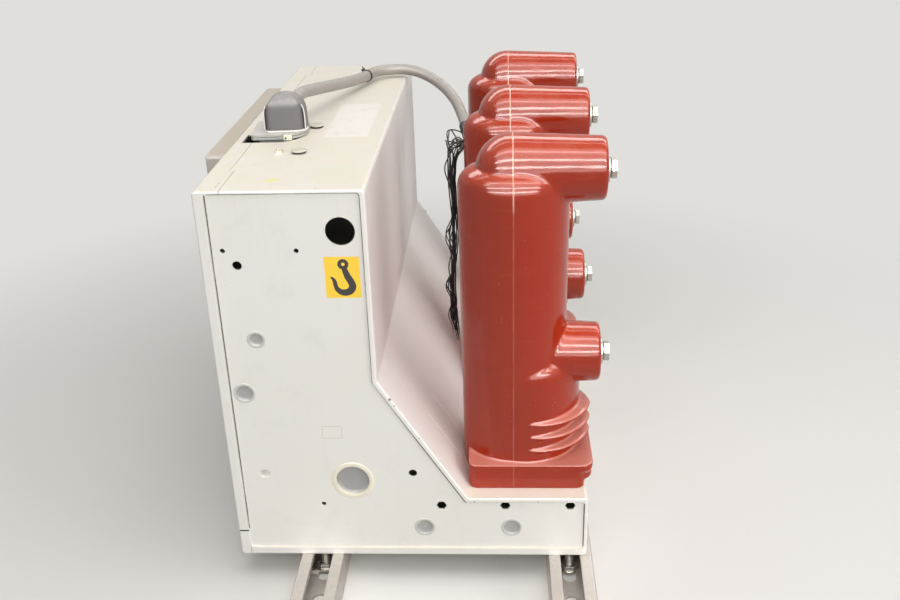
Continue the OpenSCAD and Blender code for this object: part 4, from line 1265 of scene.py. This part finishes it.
@dataclass
class Marks:
    """What is stuck on the cabinet or has come off it.

    sticker, glue, label and residue are (place, place, width, height); a point of the hook is
    (x, y, half the stroke) round the sticker's middle and its eye (x, y, radius, half the stroke);
    chips, scrap and dimple are (place, place, radius), and a glint is (x, y, length) of a painted
    highlight on the slope, which is given by its normal's Y and Z and its lower corner.
    """

    film: float = 0.12
    sticker: tuple[float, float, float, float] = (137.8, 335.8, 34.5, 43.6)
    label: tuple[float, float, float, float] = (26, 121.5, 152, 49)
    residue: tuple[float, float, float, float] = (239, 133, 60, 44)
    scrap: tuple[float, float, float] = (254, 71, 6.4)
    hook: tuple[tuple[float, float, float], ...] = (
        (2.0, 10.4, 2.6), (3.2, 5.9, 3.0), (5.2, 0.4, 3.4), (7.8, -4.4, 3.5), (9.2, -9.2, 3.6),
        (7.4, -13.7, 3.6), (2.6, -16.1, 3.5), (-2.4, -15.4, 3.1), (-6.0, -12.4, 2.5), (-7.6, -8.1, 2.1),
        (-8.2, -4.2, 2.0), (-9.6, -1.4, 1.5), (-11.7, 0.4, 0.9))
    eye: tuple[float, float, float, float] = (1.2, 13.9, 3.6, 1.9)
    glue: tuple[float, float, float, float] = (113.5, 158.5, 21, 15)
    dimple: tuple[float, float, float] = (36.2, 108.0, 2.9)
    glints: tuple[tuple[float, float, float], ...] = ((179, 228, 60.5), (225, 229, 66))
    slope: tuple[float, float, float, float] = (0.84667, 0.53211, 255.5, 76.0)
    chips: tuple[tuple[float, float, float], ...] = (
        (177.0, 199.5, 1.5), (181.5, 192.0, 0.9), (205.4, 152.5, 0.8), (262.0, 71.6, 1.1), (330.0, 71.8, 0.7))
    top_chips: tuple[tuple[float, float, float], ...] = (
        (260.0, 21.3, 0.9), (266.0, 21.2, 0.7), (272.0, 21.4, 1.0), (281.0, 118.0, 0.8), (140.0, 160.5, 0.9))

    def hook_sticker(self, cabinet: Cabinet, side: Side) -> None:
        """Sticks the lifting pictogram on a side: a yellow plate with a plain hook.

        Args:
            cabinet: The cabinet that it is stuck on.
            side: The side that it is on.
        """
        y, z, width, height = self.sticker
        place = cabinet.on_side(side, y, z)
        Work().plate(width, height, self.film, 0.6, place).finish(f"{side.word}_lifting_sticker", YELLOW)
        self.stroke(f"{side.word}_hook_pictogram", place)

    def stroke(self, name: str, place: Matrix) -> None:
        """Draws the hook as a flat stroke that swells along its bend, with an eye on top.

        Args:
            name: The piece's name.
            place: The sticker's place.
        """
        knots = smooth_line([Vector(p) for p in self.hook], 5)
        x, y, middle_r, half = self.eye
        turns = [TURN * k / 28 for k in range(29)]
        eye = [(x + middle_r * math.cos(turn), y + middle_r * math.sin(turn), half) for turn in turns]
        lines = [[(x * MM, y * MM, 0, half) for x, y, half in line] for line in (knots, eye)]
        mesh = swept(name, lines, MM, 6)
        mesh.transform(place @ Matrix.Translation((0, 0, self.film * MM)) @ Matrix.Diagonal((1, 1, 0.02, 1)))
        hand_over(mesh, name, INK)

    def top_labels(self, cabinet: Cabinet) -> None:
        """Lays the blank paper label, the faded scrap and the tape's residue on the top."""
        x, y, width, height = self.label
        Work().plate(width, height, self.film, 1.2, cabinet.on_top(x, y)).finish("blank_label", PAPER)
        x, y, radius = self.scrap
        Work().flake(radius, 0.08, cabinet.on_top(x, y), 5).finish("faded_scrap", SCRAP)
        x, y, width, height = self.residue
        Work().plate(width, height, 0.03, 1, cabinet.on_top(x, y)).finish("tape_residue", RESIDUE)

    def bare_spots(self, cabinet: Cabinet) -> None:
        """Scatters the chips where the paint came off the edges."""
        work = Work()
        for number, (y, z, radius) in enumerate(self.chips):
            for side in Side:
                work.flake(radius, 0.03, cabinet.on_side(side, y, z, cabinet.rim_x), 20 + number)
        for number, (x, y, radius) in enumerate(self.top_chips):
            work.flake(radius, 0.03, cabinet.on_top(x, y), 40 + number)
        work.finish("paint_chips", BARE)

    def traces(self, cabinet: Cabinet) -> None:
        """Leaves the glue's outline on each side, and a grey flake of painted shade in the upper half of its
        dimple, where its rim shades it.
        """
        work = Work()
        y, z, width, height = self.glue
        for side in Side:
            work.frame(width, height, 0.6, 0.03, 0.5, cabinet.on_side(side, y, z))
            # Painted shade: a grey flake in the dimple's upper half
            work.flake(self.dimple[2], 0.3, cabinet.on_side(side, *self.dimple[:2]), 61)
        work.finish("glue_traces_and_dimple_shade", GLUE_TRACE_AND_SHADE)

    def slope_glints(self) -> None:
        """Lays thin pale strips along the slope as painted highlights."""
        out, up, foot_y, foot_z = self.slope
        slope_glints = Work()
        for x, y, length in self.glints:
            z = foot_z + (foot_y - y) * out / up
            place = facing(cab(x, y, z), Vector((0, out, up)), Vector((0, -up, out)))
            slope_glints.plate(2.0, length, 0.05, 0.9, place)
        slope_glints.finish("slope_glint_strips", SLOPE_GLINT)

    def build(self, cabinet: Cabinet) -> None:
        """Places all of the marks on the cabinet."""
        for side in Side:
            self.hook_sticker(cabinet, side)
        self.top_labels(cabinet)
        self.bare_spots(cabinet)
        self.traces(cabinet)
        self.slope_glints()


@dataclass
class Pole:
    """One cast pole with its two contacts and their bolts.

    The casting stays crisp below crisp_below. Round an arm's root, which lies root_out behind the
    axis, it is smoothed from root_low below the arm's axis to root_high above it.
    """

    number: int
    name: str
    pitch: float = 210.0
    axis_y: float = 305.2
    voxel: float = 1.5
    end_y: float = 397.0
    heights: tuple[float, float] = (215.75, 420.75)
    crisp_below: float = 172.0
    root_out: float = 34.0
    root_low: float = 52.0
    root_high: float = 10.0
    ridge: float = 0.4
    ridge_half: float = 0.9
    bolt_flats: float = 19.0
    washer_r: float = 14.5
    bolt_turns: dict[str, float] = field(default_factory=lambda: {"lower": 8.0, "upper": -37.0})

    def housing(self) -> None:
        """Remeshes the cast housing and lets its joints flow into each other as moulded."""
        work = Work.of_node(f"{self.name}_pole").voxels(self.voxel)
        crisp = cab(0, 0, self.crisp_below).z
        work.relax(1)
        work.relax(2, [v for v in work.bm.verts if v.co.z > crisp])
        root_y = cab(0, self.axis_y + self.root_out, 0).y
        bands = [(cab(0, 0, z - self.root_low).z, cab(0, 0, z + self.root_high).z) for z in self.heights]
        work.relax(8, [v for v in work.bm.verts if abs(v.co.y - root_y) < self.root_out * MM
                       and v.co.z > crisp and any(low < v.co.z < high for low, high in bands)])
        self.parting_line(work)
        work.finish(f"{self.name}_housing", RESIN, [f"{self.name}_pole"], 80)

    def parting_line(self, work: Work) -> None:
        """Raises the thin ridge where the mould's halves met."""
        line_y = cab(0, SEAM_Y, 0).y
        for step in (-1, 0, 1):
            geom = list(work.bm.verts) + list(work.bm.edges) + list(work.bm.faces)
            bmesh.ops.bisect_plane(work.bm, geom=geom, dist=1e-6, plane_no=BACK,
                                   plane_co=(0, line_y + step * self.ridge_half * MM, 0))
        work.bm.normal_update()
        for vert in work.bm.verts:
            if abs(vert.co.y - line_y) < 2e-5:
                vert.co += Vector((vert.normal.x, 0, vert.normal.z)) * self.ridge * MM

    def contacts(self) -> None:
        """Shapes the contact faces, washers and bolts of both arms."""
        x = self.number * self.pitch
        heads, springs = Work(), Work()
        for level, z in zip(("lower", "upper"), self.heights):
            place = facing(cab(x, self.end_y, z), BACK)
            face = Work().turned([(6.1, -8), (6.1, 0.1), (6.6, 0.5), (17.2, 0.5), (18, -0.1), (18, -8)],
                                 place, 64)
            face.finish(f"{self.name}_{level}_contact", PLATED, [f"{self.name}_{level}_terminal"])
            place = facing(cab(x, self.end_y + 0.5, z), BACK)
            r = self.washer_r
            heads.turned([(6.2, 0), (r - 0.4, 0), (r, 0.4), (r, 2.2), (r - 0.4, 2.6), (6.2, 2.6), (6.2, 0)],
                         place, 56)
            springs.turned([(6.2, 2.6), (9.5, 2.6), (9.8, 2.9), (9.8, 3.9), (9.5, 4.2), (6.2, 4.2),
                            (6.2, 2.6)], place, 48)
            left_at = Matrix.Rotation(math.radians(self.bolt_turns[level] + 9 * self.number), 4, "Z")
            head = Work().prism(6, over_corners(self.bolt_flats), 4.2, 10.0, place @ left_at)
            join(heads, head.soften(0.5, 2, 50))
            heads.turned([(0, -20), (6, -20), (6, 4.3), (0, 4.3)], place, 32)
        heads.finish(f"{self.name}_bolts", BOLT_ZINC, [f"{self.name}_terminal_bolts"])
        springs.finish(f"{self.name}_spring_washers", DARK_STEEL)

    def build(self) -> None:
        """Builds the pole's pieces."""
        self.housing()
        self.contacts()


@dataclass
class MechanismCover:
    """The cover on the front with its buttons, windows and crank socket."""

    out: float = 21.0
    buttons: tuple[tuple[float, float], ...] = ((96, 248), (96, 198))
    windows: tuple[float, ...] = (364, 328, 294)
    window_x: float = 96.0
    window_frame: tuple[float, float, float, float, float] = (52, 26, 3.2, 0.9, 3)
    wheel_step: float = 6.5
    screws: tuple[tuple[float, float], ...] = (
        (-146, 412), (0, 412), (146, 412), (-146, 86), (0, 86), (146, 86))

    def on_face(self, x: float, z: float, behind: float = 0.0) -> Matrix:
        """Gives a place on the cover's face, +Z out of it and +Y up."""
        return facing(cab(x, behind - self.out, z), -BACK)

    def trims(self) -> None:
        """Shapes the frames round the windows, the collars round the buttons and the screws."""
        trim = Work()
        for z in self.windows:
            trim.frame(*self.window_frame, self.on_face(self.window_x, z))
        for x, z in self.buttons:
            trim.turned([(11.4, 0), (14.2, 0), (14.2, 0.5), (13.6, 0.9), (12.0, 0.9), (11.4, 0.4), (11.4, 0)],
                        self.on_face(x, z), 56)
        trim.finish("cover_trims", RUBBER)
        screws = Work()
        for x, z in self.screws:
            screws.turned([(0, 0.35), (1.0, 0.35), (1.5, 0.95), (2.6, 1.25), (3.4, 0.9), (4.2, 0.35),
                           (4.4, 0), (0, 0)], self.on_face(x, z), 28)
        screws.finish("cover_screws", BOLT_ZINC)

    def dials(self) -> None:
        """Shapes what the windows show: a bar, a plain field and a row of blank counter wheels."""
        bar = Work().plate(2.2, 11, 0.3, 0.8, self.on_face(self.window_x, self.windows[0], 0.8))
        wheels = Work()
        for k in range(-2, 3):
            place = self.on_face(self.window_x + self.wheel_step * k, self.windows[2], 0.8)
            wheels.plate(5.0, 9, 0.3, 0.8, place)
        bar.finish("position_bar", DIAL_BLACK)
        wheels.finish("counter_wheels", DIAL_WHITE)

    def build(self) -> None:
        """Dresses the cover's pieces."""
        dress_node("mechanism_cover", "cover_shell", COVER_GREY, (0.4, 2, 50), 30)
        for node, finish in (("on_button", GREEN), ("off_button", RED)):
            dress_node(node, node + "_cap", finish, (0.4, 2, 30))
        dress_node("charging_socket", "crank_socket", BOLT_ZINC, (0.3, 2, 40))
        for node, finish in (("position_window", DIAL_WHITE), ("spring_window", YELLOW),
                             ("counter_window", DIAL_BLACK)):
            dress_node(node, node + "_face", finish, (0.3, 2, 40))
        self.trims()
        self.dials()


@dataclass
class Connector:
    """The plug connector on the top, with its hood, base and latch, and the plugs beside it.

    slots are (side of the hood, distance from its middle), and foot_rim holds the points of the rim
    under its face by the connector's axes.
    """

    middle: tuple[float, float] = (82.07, 47.41)
    turn: float = 4.0
    plugs: tuple[tuple[float, float], ...] = ((58, 83), (160, 81))
    plug_r: float = 8.5
    square: tuple[float, float] = (159, 60)
    base_top: float = 433.0
    base_t: float = 7.0
    hood_y: float = 7.0
    crown: float = 20.0
    slots: tuple[tuple[int, float], ...] = ((-1, 19.0), (1, 18.0))
    foot_rim: tuple[tuple[float, float, float], ...] = (
        (10, -22.8, 0.9), (16.4, -22.2, 0.9), (20.2, -19.6, 0.9), (21.6, -16, 0.9), (21.7, -4, 0.9),
        (21.7, 8, 0.9), (21.0, 14.4, 0.9), (18.0, 19.8, 0.9), (13.0, 22.7, 0.9), (6, 23.3, 0.9))
    pin: tuple[float, float, float] = (33.0, 8.5, 429.0)

    def on_base(self, x: float, y: float, z: float) -> Matrix:
        """Gives a place by the connector's own axes, z up from the cabinet's bottom."""
        turn = Matrix.Rotation(math.radians(self.turn), 4, "Z")
        return Matrix.Translation(cab(*self.middle, z)) @ turn @ Matrix.Translation(Vector((x, y, 0)) * MM)

    def hood(self) -> None:
        """Moulds the hood: an even skin whose crown is drawn round, with its slots kept open."""
        work = Work.of_node("connector_hood").voxels(0.6)
        work.relax(2)
        crown = cab(0, 0, self.base_top + self.crown).z
        work.relax(26, [v for v in work.bm.verts if v.co.z > crown])
        work.finish("connector_hood_moulded", HOOD_GREY, ["connector_hood"], 60)
        self.face_slots()

    def face_slots(self) -> None:
        """Lays dark beads of painted shade in the slots beside the hood's face, and pale beads of painted
        highlight on their outer rims and on the rim under it.
        """
        for number, (side, x) in enumerate(self.slots):
            line = [(x, 21.0, 3), (x, 21.0, 12), (x, 20.8, 20), (x - 0.2, 20.0, 25), (x - 1.0, 18.4, 29)]
            # Painted shade in the slot, in black rubber
            self.bead(f"hood_slot_{number + 1}", line, side, 0.0, 1.3, RUBBER)
            # Painted highlight along the slot's outer rim
            self.bead(f"hood_slot_rim_{number + 1}", line, side, 1.3, 1.3, HOOD_RIM_HIGHLIGHT)
        # Painted highlight along the rim under the face
        self.bead("hood_foot_rim_highlight", self.foot_rim, 1, 0.0, 2.0, HOOD_RIM_HIGHLIGHT)

    def bead(self, name: str, line: Sequence[tuple[float, float, float]], side: int, out: float,
             thick: float, finish: Finish) -> None:
        """Lays a thin bead on the hood.

        Args:
            name: The piece's name.
            line: Its points by the connector's axes, with their heights above the base plate.
            side: Which side of the hood it is on, as the sign of its Y.
            out: How far it is moved out along Y.
            thick: Its diameter in millimetres.
            finish: Its finish.
        """
        points = [self.on_base(x, self.hood_y + side * (y + out), self.base_top + z).to_translation()
                  for x, y, z in line]
        tube(name, smooth_line(points, 4), thick * MM, finish, 3)

    def top_plugs(self) -> None:
        """Shapes the two plugs in the top: a thin dished head on a dark neck, whose black is painted shade in
        the gap under the head.
        """
        r, top = self.plug_r, self.base_top - self.base_t
        rim, neck = Work(), Work()
        for x, y in self.plugs:
            place = facing(cab(x, y, top), UP)
            rim.turned([(0, 3.4), (r * 0.5, 3.45), (r - 2.4, 3.1), (r - 1.7, 3.5), (r - 0.9, 3.6),
                        (r - 0.2, 3.2), (r, 2.6), (r - 0.4, 2.1), (r - 1.8, 1.9), (0, 1.9)], place, 48)
            neck.turned([(0, 2.0), (r - 1.2, 2.0), (r - 1.5, 1.0), (r - 1.3, 0.0), (r - 2.4, -3.4),
                         (0, -3.4)], place, 48)
        rim.finish("top_plug_heads", PLUG_IVORY, ["top_plugs"], 50)
        # Painted shade: the neck is black for the shade in the gap under the head
        neck.finish("top_plug_neck_shade", RUBBER, (), 50)

    def square_cap(self) -> None:
        """Shapes the small square fitting: a cage of thin metal round a pale block, on a dark plate of
        painted shade in its recess.
        """
        x, y = self.square
        place = facing(cab(x, y, self.base_top - self.base_t), UP, BACK)
        Work().plate(5.6, 4.6, 2.9, 1.6, place).soften(0.4, 2, 50).finish("square_fitting_block", IVORY)
        cage = Work().frame(9, 9, 0.9, 3.0, 2.2, place)
        cage.finish("square_fitting_cage", PALE_PASSIVATED, ["square_fitting"])
        # Painted shade: a dark plate under the fitting
        Work().plate(8, 8, 0.3, 1.6, place).finish("square_fitting_recess_shade", CORNER_SHADE)

    def latch(self) -> None:
        """Shapes the latch: a pale bracket with a dark pin through it, the pin's dark colour painted shade of
        the latch's slot.
        """
        dress_node("hood_latch", "hood_latch_bar", IVORY, (0.6, 2, 50))
        at = self.on_base(*self.pin)
        # Painted shade: a dark pin where the latch's slot lies in shade
        pin = Work().turned([(0, 0.35), (1.0, 0.3), (1.3, 0), (1.3, -2), (0, -2)],
                            facing(at.to_translation(), at.to_3x3() @ Vector((1, 0, 0))), 20)
        pin.finish("hood_latch_slot_shade", DARK_STEEL)

    def build(self) -> None:
        """Dresses the connector's pieces."""
        self.hood()
        dress_node("connector_base", "connector_base_moulded", BASE_GREY, (0.4, 2, 50))
        self.latch()
        self.top_plugs()
        self.square_cap()


@dataclass
class Rails:
    """The two zinc rails that carry the cabinet, with the bolts that hold it on them."""

    rails: tuple[float, float] = (91.7, 366.2)
    bolt_places: tuple[float, float] = (273.0, -268.0)
    web_top: float = -27.0
    square_washer: tuple[float, float, float, float] = (20, 34, 3, 1)
    nut_flats: float = 17.0
    nut_h: float = 6.0

    def bolts(self) -> None:
        """Shapes the threaded bolts in the rails, each with its nut and a square or round washer."""
        work = Work()
        for y, square in zip(self.rails, (True, False)):
            for x in self.bolt_places:
                place = facing(cab(x, y, self.web_top), UP, BACK)
                if square:
                    work.plate(*self.square_washer, place)
                else:
                    work.turned([(5.3, 0), (10, 0), (10, 1.8), (9.8, 2), (5.3, 2), (5.3, 0)], place, 40)
                foot = 3 if square else 2
                nut = Work().prism(6, over_corners(self.nut_flats), foot, foot + self.nut_h, place)
                join(work, nut.soften(0.5, 2, 50))
                work.threaded(5, -3, 26.6, 1.5, place)
        work.finish("rail_bolts", BOLT_ZINC)

    def build(self) -> None:
        """Dresses the rails."""
        for node in ("front_rail", "rear_rail"):
            dress_node(node, node + "_channel", RAIL_ZINC, (0.9, 3, 50), 35)
        self.bolts()


def main() -> None:
    """Builds the scene in order: camera, cords, then the object from the ground up."""
    logging.basicConfig(level=logging.INFO, format="%(message)s")
    studio = Studio()
    studio.camera()
    cable = ControlCable()
    cable.hose()
    cable.bundle()
    Rails().build()
    cabinet = Cabinet()
    cabinet.build()
    Marks().build(cabinet)
    MechanismCover().build()
    Connector().build()
    for number, name in ((1, "right"), (0, "middle"), (-1, "left")):
        Pole(number, name).build()
    studio.build()


if __name__ == "__main__":
    main()
